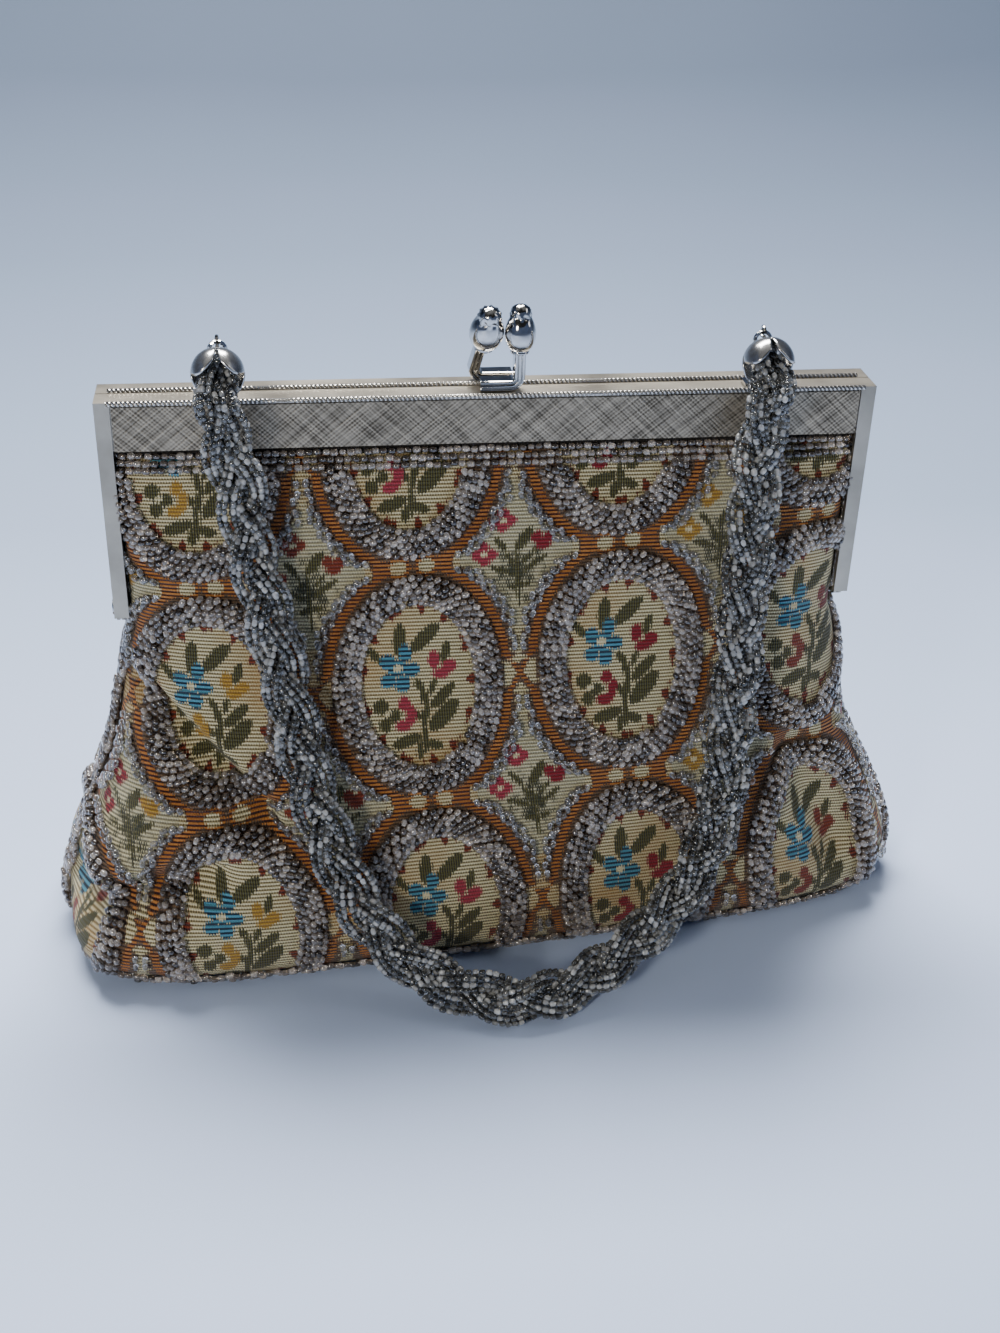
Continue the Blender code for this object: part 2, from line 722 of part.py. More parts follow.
def lug(name, end):
    """A tall wire staple on a small foot, standing on the front half's top plate."""
    x = end * LUG_X
    y = -HALF_MIDDLE
    half = LUG_WIDTH / 2
    top = LUG_AXIS.z - half
    points = [(x - half, y, FOOT_LEVEL + LUG_FOOT / 2)]
    for i in range(STAPLE_STEPS + 1):
        angle = math.pi * (1 - i / STAPLE_STEPS)
        points.append((x + half * math.cos(angle), y, top + half * math.sin(angle)))
    points.append((x + half, y, FOOT_LEVEL + LUG_FOOT / 2))
    made = part(name, solid_from_curve(wire(points, LUG_WIRE), name), POLISHED_METAL)
    foot = bmesh.new()
    add_box(foot, (x - LUG_FOOT_WIDTH / 2, y - LUG_FOOT_DEPTH / 2, FOOT_LEVEL),
            (x + LUG_FOOT_WIDTH / 2, y + LUG_FOOT_DEPTH / 2, FOOT_LEVEL + LUG_FOOT))
    combine(made, cutter(name + "_foot", foot), 'UNION')


def cap_eye(name, end):
    """A wire round the staple's top whose tail goes into the bead cap."""
    radius = LUG_WIRE + GAP + EYE_WIRE
    centre = Vector((end * LUG_X, LUG_AXIS.y, LUG_AXIS.z))
    points = [centre + CAP_AXIS * EYE_TAIL, centre + CAP_AXIS * (EYE_TAIL + radius) / 2]
    for i in range(EYE_STEPS + 1):
        turn = Matrix.Rotation(EYE_WRAP * i / EYE_STEPS, 3, 'X')
        points.append(centre + turn @ (CAP_AXIS * radius))
    part(name, wire(points, EYE_WIRE), POLISHED_METAL, HANDLE_PIVOT)


def bead_cap(name, end):
    """A thin cup over the strings' ends, parted into four petals."""
    outline = [(CAP_HOLE, 0)]
    outline += [(out * CAP_RADIUS, down) for out, down in CAP_OUTSIDE_SHARES]
    outline += [(out * CAP_RADIUS - CAP_WALL, down) for out, down in CAP_INSIDE_SHARES]
    outline.append((CAP_HOLE, CAP_HOLE_SHARE))
    profile = [(radius, -CAP_START - down * CAP_LENGTH) for radius, down in outline]
    made = turned(name, profile, POLISHED_METAL, CAP_SIDES, HANDLE_PIVOT)
    made.location = (end * LUG_X, 0, 0)
    made.rotation_euler = (-CAP_TILT, 0, 0)
    gaps = bmesh.new()
    for quarter in range(4):
        turn = Matrix.Rotation(math.pi / 2 * (quarter + 0.5), 4, 'Z')
        wedge = bmesh.ops.create_cube(gaps, size=1)["verts"]
        for corner in wedge:
            wide = PETAL_GAP if corner.co.z < 0 else PETAL_GAP_TIP
            height = -PETAL_GAP_LENGTH - OVERRUN / 2 if corner.co.z < 0 else 0
            reach = CAP_RADIUS / 2 if corner.co.x < 0 else CAP_RADIUS + OVERRUN
            corner.co = turn @ Vector((reach, corner.co.y * wide,
                                       height - CAP_START - CAP_LENGTH + PETAL_GAP_LENGTH))
    tool = cutter(name + "_gaps", gaps)
    tool.matrix_world = (Matrix.Translation(LUG_AXIS + Vector((end * LUG_X, 0, 0)))
                         @ Matrix.Rotation(-CAP_TILT, 4, 'X'))
    combine(made, tool, 'DIFFERENCE')


def edging_point(x, height, side):
    """A point on the skin where a row of beads lies, pushed out by the row's radius."""
    half_width, half_depth, squareness = section(height)
    across = abs(x) / half_width
    deep = (1 - across ** squareness) ** (1 / squareness)
    out = Vector((math.copysign(across ** (squareness - 1) / half_width, x),
                  side * deep ** (squareness - 1) / half_depth, 0)).normalized()
    return Vector((x, side * deep * half_depth, height)) + out * (EDGING_RADIUS + GAP)


def edging(name, side, low, pivot=None):
    """The bead trim along the frame: up one arm, under the band and down the other."""
    top = PANEL_TOP - EDGING_RADIUS - GAP
    edge = MOUTH_HALF - 2 * EDGING_RADIUS
    bend = 2 * EDGING_RADIUS
    steps_up, steps_across = EDGING_STEPS
    heights = [low + (top - bend - low) * i / steps_up for i in range(steps_up + 1)]
    left = [edging_point(-edge, z, side) for z in heights]
    across = [edging_point(-edge + bend + 2 * (edge - bend) * i / steps_across, top, side)
              for i in range(steps_across + 1)]
    right = [edging_point(edge, z, side) for z in reversed(heights)]
    part(name, wire(left + across + right, EDGING_RADIUS, 1), GLASS_BEADS, pivot)


def smooth_route(points, steps):
    """Extra points on the smooth curve through a route's own points."""
    path = []
    for i in range(len(points) - 1):
        p0 = points[max(i - 1, 0)]
        p1, p2 = points[i], points[i + 1]
        p3 = points[min(i + 2, len(points) - 1)]
        for k in range(steps):
            t = k / steps
            path.append(0.5 * ((2 * p1) + (p2 - p0) * t + (2 * p0 - 5 * p1 + 4 * p2 - p3) * t * t
                               + (3 * p1 - p0 - 3 * p2 + p3) * t**3))
    return path + [points[-1]]


def handle_cord():
    """The braid's plain form, from the mouth of one cap to the mouth of the other."""
    ends = []
    for end in (-1, 1):
        mouth = LUG_AXIS + Vector((end * LUG_X, 0, 0)) + CAP_AXIS * (CAP_START + CAP_LENGTH + CORD_GAP)
        ends.append(mouth)
    leads = [mouth + CAP_AXIS * CORD_LEAD for mouth in ends]
    route = [ends[0], leads[0]] + [Vector(place) for place in CORD_ROUTE] + [leads[1], ends[1]]
    path = smooth_route(route, CORD_STEPS)
    part("handle_cord", wire(path, CORD_DIAMETER / 2), GLASS_BEADS, HANDLE_PIVOT)
    length = sum((b - a).length for a, b in zip(path, path[1:]))
    print("handle cord length in metres", round(length, 4))


# Metal frame, fixed half and opening half
frame_half("front_frame", -1, SATIN_METAL)
frame_half("rear_frame", 1, SATIN_METAL, REAR_PIVOT)
band("front_band", -1, ENGRAVED_METAL)
band("rear_band", 1, ENGRAVED_METAL, REAR_PIVOT)
hinge_pin("left_hinge_pin", -1)
hinge_pin("right_hinge_pin", 1)

# Kiss-lock clasp
post_top = FRAME_TOP + KNOB_RISE - GAP
rear_knob_x = FRONT_KNOB_X - FRONT_KNOB_RADIUS - REAR_KNOB_RADIUS - 2 * GAP
front_path = strap_path(FRONT_KNOB_X - STRAP_LENGTH, FRONT_KNOB_X, post_top)
rear_path = strap_path(rear_knob_x - STRAP_BEND + STRAP_LENGTH, rear_knob_x - STRAP_BEND, post_top,
                       STRAP_BEND / 2)
rear_lean = REAR_KNOB_REACH / KNOB_RISE
clasp_post("front_clasp_post", -1, front_path, 0, POLISHED_METAL)
clasp_post("rear_clasp_post", 1, rear_path, rear_lean, POLISHED_METAL, REAR_PIVOT)
knob("front_clasp_knob", FRONT_KNOB_RADIUS, Vector((FRONT_KNOB_X, -HALF_MIDDLE, FRAME_TOP + KNOB_RISE)),
     (0, 0))
rear_seat = STRAP_WIDTH / 2 * math.sin(REAR_KNOB_TILT)
knob("rear_clasp_knob", REAR_KNOB_RADIUS,
     Vector((rear_knob_x - GAP, HALF_MIDDLE - REAR_KNOB_REACH, FRAME_TOP + KNOB_RISE + rear_seat)),
     (REAR_KNOB_TILT, REAR_KNOB_SIDE_TILT), REAR_PIVOT)

# Fabric walls of the fixed half
skin("front_panel", -1, 0, PANEL_TOP + TUCK, 0, FABRIC, TAPESTRY, ringed=True)
skin("rear_panel_lower", 1, 0, POUCH_TOP, 0, FABRIC, TAPESTRY, ringed=True)
skin("rear_fold", 1, POUCH_TOP + GAP, FLAP_BOTTOM - GAP, 0, FABRIC, TAPESTRY, columns=INNER_COLUMNS)
skin("front_lining", -1, POUCH_TOP + GAP, PANEL_TOP, LINING_INSET, LINING, SATIN_LINING,
     columns=INNER_COLUMNS)
base_shape = loft([full_ring(0, FABRIC / 2 + GAP), full_ring(0, FABRIC / 2 + GAP)], closed=True)
for corner in list(base_shape.verts)[len(base_shape.verts) // 2:]:
    corner.co.z = FABRIC
bmesh.ops.holes_fill(base_shape, edges=base_shape.edges)
bmesh.ops.recalc_face_normals(base_shape, faces=base_shape.faces)
part("base_panel", mesh_of(base_shape, "base_panel"), TAPESTRY)

# Lining bag and its slip pocket
lining_rings = [full_ring(LINING_FLOOR, LINING_FLOOR_INSET)]
lining_rings += [full_ring(z, LINING_INSET) for z in rows(LINING_FLOOR + 2 * FABRIC, POUCH_TOP)]
lining = part("lining", mesh_of(loft(lining_rings, closed=True, floor=True), "lining", smooth=True),
              SATIN_LINING)
thicken(lining, LINING)
skin("slip_pocket", 1, POCKET_LOW, POCKET_HIGH, LINING_INSET + LINING + 2 * GAP, LINING, SATIN_LINING,
     shares=POCKET_WIDTH_SHARES, columns=POCKET_COLUMNS)

# Fabric and lining of the opening half
skin("rear_panel_upper", 1, FLAP_BOTTOM, PANEL_TOP + TUCK, 0, FABRIC, TAPESTRY, REAR_PIVOT,
     columns=INNER_COLUMNS, ringed=True)
skin("rear_lining_upper", 1, FLAP_BOTTOM, PANEL_TOP, LINING_INSET, LINING, SATIN_LINING, REAR_PIVOT,
     columns=INNER_COLUMNS)

# Bead trims
edging("front_edging", -1, HINGE_HEIGHT)
edging("rear_edging", 1, FLAP_BOTTOM, REAR_PIVOT)

# Handle
for word, end in (("left", -1), ("right", 1)):
    lug(word + "_lug", end)
    cap_eye(word + "_cap_eye", end)
    bead_cap(word + "_bead_cap", end)
handle_cord()
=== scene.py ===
"""Looks of the beaded evening bag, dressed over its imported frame."""
import math

import bmesh
import bpy
import numpy as np
from mathutils import Matrix, Vector


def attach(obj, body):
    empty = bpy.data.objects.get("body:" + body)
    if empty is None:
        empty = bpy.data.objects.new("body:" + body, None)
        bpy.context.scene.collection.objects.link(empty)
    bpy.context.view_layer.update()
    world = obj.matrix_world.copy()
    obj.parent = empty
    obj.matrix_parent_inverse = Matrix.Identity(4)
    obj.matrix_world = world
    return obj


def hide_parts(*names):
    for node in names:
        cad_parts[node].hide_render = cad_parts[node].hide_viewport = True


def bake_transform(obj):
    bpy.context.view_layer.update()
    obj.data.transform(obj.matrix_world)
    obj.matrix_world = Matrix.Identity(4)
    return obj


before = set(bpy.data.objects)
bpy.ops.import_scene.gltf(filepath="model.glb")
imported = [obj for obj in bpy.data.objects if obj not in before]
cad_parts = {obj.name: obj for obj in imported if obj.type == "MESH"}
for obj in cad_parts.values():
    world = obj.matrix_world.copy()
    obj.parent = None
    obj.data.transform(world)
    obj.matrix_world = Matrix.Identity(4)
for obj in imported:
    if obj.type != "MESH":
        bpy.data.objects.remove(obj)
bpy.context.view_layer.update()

# A millimetre, the gap between parts that move, and turns
MM = 0.001
GAP = 0.0003
FULL_TURN = 2 * math.pi
QUARTER_TURN = math.pi / 2

# Camera, from the photograph's perspective
CAMERA_PLACE = Vector((-0.0534, -0.4004, 0.3022))
CAMERA_AIM = Vector((0.0203, 0.1138, 0.0020))
CAMERA_ROLL = math.radians(1.66)
FOCAL_LENGTH = 44.73

# Metal frame
FRAME_WIDTH = 0.200
FRAME_TOP = 0.152
HALF_DEPTH = 0.0068
STRIP_WIDTH = 0.0038
STRIP_DEPTH = 0.0016
BAND_HEIGHT = 0.0130
HINGE_HEIGHT = 0.092
HALF_MIDDLE = HALF_DEPTH / 2
PANEL_TOP = FRAME_TOP - BAND_HEIGHT
MOUTH_HALF = FRAME_WIDTH / 2 - STRIP_WIDTH - GAP
MOUTH_DEPTH = HALF_DEPTH - STRIP_DEPTH - GAP

# Cut rims along the top of both halves: word, depth and height of each
ROD_PLACES = (("front", -HALF_DEPTH + 0.0003, FRAME_TOP - 0.0004), ("rear", 0.0009, FRAME_TOP + 0.0002))
ROD_RADIUS = 0.0007
ROD_SHORTER = 0.0060
ROD_SIDES = 18

# Cloth body
BELLY_WIDTH = 0.239
BELLY_DEPTH = 0.0864
BASE_TWIST = math.radians(6)
TUCK = 0.010
TUCKED_SHARE = 0.6
HEM = 0.0012
# Height and blur of a painted shade strip along the cloth's top, under the frame's plate
TOP_SHADE_HEIGHT = 0.0022
TOP_SHADE_BLUR = 0.0004
SEAM_FADE = 0.10
SKIN_ROWS = 240
SKIN_COLUMNS = 480
SKIN_STEP = 0.0012
CLOTH_STEP = 0.00078

# Height, growth of the width and of the depth from mouth to belly, and squareness
SECTION_SHARES = (
    (0.000, 0.56, 0.76, 5.0),
    (0.014, 0.77, 0.89, 5.0),
    (0.050, 0.98, 0.99, 5.0),
    (0.115, 1.00, 1.00, 4.5),
    (0.216, 0.79, 0.90, 3.9),
    (0.324, 0.51, 0.77, 3.4),
    (0.432, 0.26, 0.63, 3.1),
    (0.547, 0.14, 0.48, 3.0),
    (0.604, 0.06, 0.41, 3.0),
    (0.635, 0.00, 0.37, 3.0),
    (0.662, 0.00, 0.34, 3.0),
    (0.863, 0.00, 0.15, 4.5),
    (1.000, 0.00, 0.00, 8.0),
)
TWIST_SHARES = (0.14, 0.63)

# Creases of the front: both ends across the half width and up the panel, width, depth and upper sharpness
CREASE_SHARES = (
    (-0.84, 0.58, -0.54, 0.34, 0.050, 0.066, 0.4),
    (-0.97, 0.155, -0.70, 0.235, 0.045, 0.078, 0.6),
    (0.56, 0.74, 0.60, 0.36, 0.050, 0.034, 1.0),
    (0.70, 0.34, 0.82, 0.15, 0.050, 0.060, 1.0),
)

# Stretch of the rear that folds as the mouth opens
FOLD_END = 0.112

# Lining, pocket and base
FRONT_LINING_INSET = 0.0028
REAR_LINING_INSET = 0.0040
LINING_FLOOR = 0.0056
LINING_STEP = 0.003
LINING_WALL = 0.0005
POCKET_INSET = REAR_LINING_INSET + 0.0012
POCKET_LOW = 0.028
POCKET_HIGH = 0.074
POCKET_SHARE = 0.36
POCKET_STEP = 0.002
POCKET_WALL = 0.0006
BASE_CELLS = (160, 48)
BASE_EDGE_SHARE = 0.01
BASE_SHRINK = 0.985
BASE_LIFT = 0.0006
BASE_WALL = 0.0010
BASE_UP = 0.1

# Handle: the cord's route is the one of the part's source
LUG_X = 0.069
LUG_AXIS = Vector((0, -HALF_MIDDLE, 0.16605))
CAP_TILT = math.radians(52)
CAP_AXIS = Vector((0, -math.sin(CAP_TILT), -math.cos(CAP_TILT)))
CAP_MOUTH = 0.0144
CORD_LEAD = 0.0035
CORD_ROUTE = (
    (-0.0689, -0.0175, 0.1525), (-0.0676, -0.0168, 0.1450), (-0.0659, -0.0168, 0.1350),
    (-0.0633, -0.0198, 0.1190), (-0.0603, -0.0240, 0.1042), (-0.0572, -0.0282, 0.0890),
    (-0.0541, -0.0330, 0.0739), (-0.0509, -0.0397, 0.0595), (-0.0452, -0.0475, 0.0425),
    (-0.0379, -0.0545, 0.0268), (-0.0262, -0.0602, 0.0137), (-0.0122, -0.0665, 0.0080),
    (0.0016, -0.0700, 0.0069), (0.0157, -0.0670, 0.0073), (0.0310, -0.0595, 0.0112),
    (0.0452, -0.0510, 0.0192), (0.0550, -0.0445, 0.0312), (0.0606, -0.0388, 0.0460),
    (0.0624, -0.0338, 0.0620), (0.0640, -0.0295, 0.0780), (0.0648, -0.0256, 0.0940),
    (0.0654, -0.0225, 0.1102), (0.0664, -0.0200, 0.1260), (0.0674, -0.0168, 0.1385),
    (0.0684, -0.0175, 0.1510),
)
ROUTE_STEPS = 12
BRAID_FACE = np.array((0.0, -1.0, 0.45))
BRAID_STEP = 0.0002
BRAID_PERIOD = 0.0470
BRAID_SWING = 0.0041
BRAID_DEPTH = 0.0019
BUNDLES = 3
BUNDLE_STRINGS = 7
BUNDLE_WIDTH = 0.0023
BUNDLE_THICKNESS = 0.0012
NARROWEST = 0.45
THINNEST = 0.4
BRAID_SEED = 40

# How wide the braid spreads and how loose its strings lie, by the way from an end
SPREAD = ((0, 0.003, 0.008, 0.030), (0.10, 0.50, 0.80, 1.0))
PUFF = ((0, 0.006, 0.014, 0.040), (0.8, 2.2, 1.9, 1.0))
PUFF_LIMIT = 1.5
SLEEVE_START = 0.0052
DRIFT = 0.00026
DRIFT_STEP = 0.012
FIRST_BEAD = 0.0008
BEAD_STAGGER = 0.0003
STRUNG_SLACK = 1.10
STRUNG_SHAKE = 0.00005
STRUNG_TILT = 0.10

# Petal caps: way down the petal, radius and drop of each row, and half the angle that a petal takes
CAP_START = 0.0030
CAP_RADIUS = 0.0067
CAP_WALL = 0.0005
PETAL_LENGTH = 0.0092
PETAL_CELLS = (14, 16)
PETAL_ROUNDING = 0.20
PETAL_SHARES = ((0.0, 0.14, 0.0), (0.2, 0.45, 0.05), (0.35, 0.70, 0.16), (0.5, 0.86, 0.30),
                (0.65, 0.96, 0.47), (0.8, 1.0, 0.68), (1.0, 0.95, 1.0))
PETAL_HALF_ANGLES = ((0, 0.4, 1), (45, 45, 36))

# Clasp
KNOB_RISE = 0.0098
KNOB_HEIGHT = 0.0126
KNOB_STEPS = 64
FRONT_KNOB_X = 0.0062
FRONT_KNOB_RADIUS = 0.0040
REAR_KNOB_RADIUS = 0.0044
REAR_KNOB_REACH = 0.0044
REAR_KNOB_SEAT = 0.0022
REAR_KNOB_TILT = math.radians(25)
REAR_KNOB_SIDE_TILT = math.radians(5)
CROWN_START_SHARE = 0.76
CROWN_RIBS = 8
CROWN_TWIST = 5.0
CROWN_SWELL = 0.12
STRAP_LENGTH = 0.0100
STRAP_BEND = 0.0024
STRAP_BEND_STEPS = 8
STRAP_LIFT = 0.0013
STRAP_OVERLAP = 0.0004
LEAN_START = 0.001
STRAP_EASE = 0.00012

# Radius and height of an acorn knob's outline
KNOB_PROFILE_SHARES = (
    (0.55, 0.0), (0.60, 0.012), (0.60, 0.045), (0.54, 0.055), (0.66, 0.085), (0.85, 0.16), (0.96, 0.26),
    (1.0, 0.37), (0.975, 0.48), (0.90, 0.58), (0.79, 0.67), (0.68, 0.73), (0.64, 0.76), (0.655, 0.80),
    (0.62, 0.87), (0.50, 0.94), (0.26, 0.985), (0.0, 1.0),
)

# A strap's section in millimetres: up from its middle and along Y, with three ridges
STRAP_SECTION = (
    (-1.4, -1.6), (-1.25, -2.05), (-0.95, -2.2), (-0.65, -2.05), (-0.5, -1.7), (-0.3, -2.05), (0.0, -2.2),
    (0.3, -2.05), (0.5, -1.7), (0.65, -2.05), (0.95, -2.2), (1.25, -2.05), (1.4, -1.6), (1.4, 2.2),
    (-1.4, 2.2),
)

# Beads: radius and length of each kind, and a bead's outline
SEWN_BEAD = (0.00088, 0.00200)
EDGE_BEAD = (0.00084, 0.00210)
STRUNG_BEAD = (0.00074, 0.00174)
BEAD_SIDES = 6
BEAD_VARIATION = 0.06
BEAD_PROFILE_SHARES = ((0.40, -0.5), (0.86, -0.38), (1.0, -0.12), (1.0, 0.12), (0.86, 0.38), (0.40, 0.5))

# How a string lies on the cloth: lift, pitch, shake and tilt
DIAMOND_LAY = (0.0010, 0.0023, 0.00010, 0.06)
EDGE_LAY = (0.0010, 0.0021, 0.00012, 0.08)
FOOT_LAY = (0.0011, 0.0021, 0.00020, 0.10)

# Rings of beads round the ovals
RING_ROWS = 74
RING_ROW_BEADS = 5
RING_SLANT = -0.34
RING_LIFT = 0.0010
RING_STRAY = 0.007
RING_SHAKE = 0.00009
RING_TILT = 0.12
RING_EDGE = 0.0005
RING_FOOT = 0.006
RING_SPLIT = 0.062
RING_SAMPLES = 721
BEADWORK_TOP = PANEL_TOP - 0.0065

# Strings round the diamonds: on the weave in millimetres, their edge and foot in metres
STRING_ENDS = (math.radians(9), math.radians(81))
STRING_SAMPLES = 60
STRING_APART = 0.75
STRING_WANDER = 0.55
STRING_WANDER_TURN = 0.9
STRING_MARGIN = 1
STRING_EDGE = 0.001
STRING_FOOT = 0.008

# Rows along the frame, the seams and the foot
ROW_PITCH = 0.0019
TOP_ROWS = 3
TOP_ROW_DROP = 0.0020
TOP_ROW_END = 0.0030
TOP_ROW_SAMPLES = 80
SEAM_ROWS = 2
SEAM_EDGE = 0.0010
SEAM_ROW_SAMPLES = 60
SEAM_STOP = 0.002
FOOT_ROWS = 3
FOOT_ROW_UP = 0.0048
FOOT_ROW_END = 0.0008
FOOT_ROW_SAMPLES = 120

# Woven pattern, in millimetres on the cloth
CLOTH_SPAN = 400.0
PITCH_ACROSS = 55.0
PITCH_UP = 64.0
FIRST_COLUMN = -21.3
ROW_UP = 87.3
SLANT = -0.02
TILT = 0.09
TILT_SPAN = (20.0, 87.0)
OVAL = (15.0, 21.8)
RING_OUTER = (22.6, 30.0)
BAND_OVAL = (24.2, 32.4)
BAND_HALF = 1.10
BAND_BREAK = 5.0
STRING_OVAL = (28.0, 34.4)
OUTSIDE = -3.0
OVALS = [(column, row) for column in range(-3, 5) for row in range(-1, 2)]

# Small motifs where the ovals meet, in millimetres
PAIR_X = 3.7
PAIR_RIM = (3.2, 2.9)
PAIR_DISC = (2.2, 1.9)
SPOT_X = 9.0
SPOT = (1.6, 2.2)
CROSS_SLOPE = 0.62
CROSS_HALF = 0.75
CROSS_TALL = 5.4
CHEEK = (4.4, 3.4)
CHEEK_GAP = 0.9
LACE = (2.0, 13)
LACE_FROM = 3.0
TAB = (9.4, 12.6)
TAB_SPAN = (10.8, 13)
TAB_HALF = 2.6

# Threads of the weave, in millimetres
RIB_PITCH = 0.96
THREAD_PITCH = 0.70
SAW_PITCH = 0.74
TOOTH_PITCH = 0.90
SATIN_PITCH = 1.06
HATCH_PITCH = 0.66
STRIPE_PITCH = 1.25

# Depths and pitches of the finishes, in metres
RIB_DEPTH = 0.00026
PLAIN_DEPTH = 0.00006
ENGRAVED_PITCH = 0.00086
ENGRAVED_DEPTH = 0.00008
KNURL_PITCH = 0.0011
KNURL_DEPTH = 0.00016

# Oval sprig, in millimetres from the oval's middle: tips and width of leaves, place and size of patches
OVAL_LEAVES = (
    (-4.6, 8.4, -3.9, 17.0, 1.5), (-1.3, 9.4, 6.0, 15.8, 1.7), (-12.6, 11.4, -9.4, 7.2, 0.9),
    (6.8, 5.6, 8.5, 10.6, 1.0), (-0.6, 1.6, 1.2, -1.8, 0.8), (1.0, -1.0, 2.0, -6.2, 0.8),
    (2.0, -5.4, 0.4, -12.2, 0.8), (0.6, -11.4, 0.4, -18.6, 0.7), (3.2, -6.4, 9.4, -0.8, 1.4),
    (3.2, -2.6, 4.5, 1.2, 0.7), (2.4, -12.6, 9.9, -5.4, 2.1), (-8.2, -15.9, -0.6, -14.0, 1.5),
    (0.8, -15.8, 4.9, -17.6, 1.1), (-1.3, -20.0, -0.9, -15.6, 0.8), (0.2, -9.4, -2.0, -6.6, 0.7),
)
OVAL_BUD_LEAVES = ((-10.3, -4.9, 1.9, 1.9), (-6.9, -7.5, 1.6, 1.5), (-9.5, -9.9, 1.6, 1.7))
OVAL_PETALS = (
    (-2.9, 9.0, 1.7, 2.5), (-7.7, 7.2, 2.0, 2.1), (-1.3, 4.4, 2.1, 1.9), (-7.9, 2.1, 2.0, 2.0),
    (-4.1, 1.0, 2.0, 2.5), (-5.0, 5.3, 2.6, 2.4),
)
OVAL_BUDS = (
    (4.6, 6.4, 1.6, 2.5), (8.6, 4.2, 2.0, 1.8), (6.4, 2.6, 2.4, 1.5),
    (-4.1, -4.6, 1.6, 2.0), (-2.5, -7.3, 1.4, 2.1), (-4.8, -10.6, 2.2, 1.6), (-2.9, -9.2, 1.4, 1.4),
)
OVAL_HEARTS = ((-5.0, 5.2, 1.2, 1.1), (-8.6, -6.9, 0.9, 0.6))

# Diamond sprig, in millimetres from the diamond's middle
DIAMOND_LEAVES = (
    (0.0, 1.2, 4.4, 6.8, 1.6), (-5.6, 5.2, -2.4, 1.0, 1.0), (-7.4, -2.4, -0.4, -5.4, 0.9),
    (8.2, -0.8, 0.8, -5.4, 0.9), (0.6, -14.0, 0.0, 2.0, 0.8), (-3.0, 2.0, -0.2, -4.4, 0.7),
    (-2.6, -8.8, 2.0, -8.0, 0.9), (1.2, -8.8, 4.4, -7.6, 0.8), (5.4, 1.2, 1.2, -3.0, 0.7),
)
DIAMOND_PETALS = (
    (-3.2, 11.0, 1.7, 1.6), (-5.2, 9.4, 1.7, 1.6), (-1.3, 9.2, 1.7, 1.5), (-3.4, 7.6, 1.7, 1.4),
    (-8.5, 2.6, 1.5, 1.6), (-10.3, 0.9, 1.6, 1.5), (-6.7, 0.7, 1.7, 1.5), (-8.5, -0.9, 1.6, 1.4),
    (5.6, 3.8, 1.5, 1.8), (8.8, 3.6, 1.6, 1.6), (7.2, 2.0, 2.2, 1.6),
)
DIAMOND_HEARTS = ((-3.3, 9.3, 0.9, 0.7), (-8.5, 0.9, 0.9, 0.7))
DIAMOND_THINNING = 0.32

# Paper on the floor: it rises behind the bag at PAPER_BACK and far off everywhere else. Its colour is painted
# lighter near the bag and darker behind it, between the depths of PAPER_PAINTED_SHADE, as painted shade
PAPER_BACK = 0.5
PAPER_FLOOR = 3.5
PAPER_BEND = 0.9
PAPER_HEIGHT = 3.0
PAPER_STEPS = 128
BEND_STEPS = 12
PAPER_PAINTED_SHADE = (-0.25, 0.85)

# Lamps: place, aim, size, power and tint
LAMPS = {
    "top_softbox": ((-0.05, 0.60, 1.10), (0, 0, 0), (0.9, 0.4), 39, (0.985, 0.99, 1.0)),
    "front_window": ((-0.65, -0.95, 0.55), (0, 0, 0.10), (0.22, 0.22), 6.5, (1.0, 0.95, 0.86)),
    "right_window": ((1.1, -0.3, 0.8), (0, 0, 0.07), (0.3, 0.8), 1.5, (0.99, 0.99, 1.0)),
}
ROOM_LIGHT = 0.28


def track_camera():
    """The photograph's camera."""
    data = bpy.data.cameras.new("photo_camera")
    data.lens = FOCAL_LENGTH
    camera = bpy.data.objects.new("photo_camera", data)
    turn = (CAMERA_AIM - CAMERA_PLACE).to_track_quat('-Z', 'Y').to_matrix().to_4x4()
    camera.matrix_world = Matrix.Translation(CAMERA_PLACE) @ turn @ Matrix.Rotation(CAMERA_ROLL, 4, 'Z')
    bpy.context.scene.collection.objects.link(camera)
    bpy.context.scene.camera = camera


def colour(value):
    """Red, green and blue as a photograph shows them, as a shader's linear colour."""
    if isinstance(value, tuple) and len(value) == 3:
        return (*[pow(part / 255, 2.2) for part in value], 1)
    return value


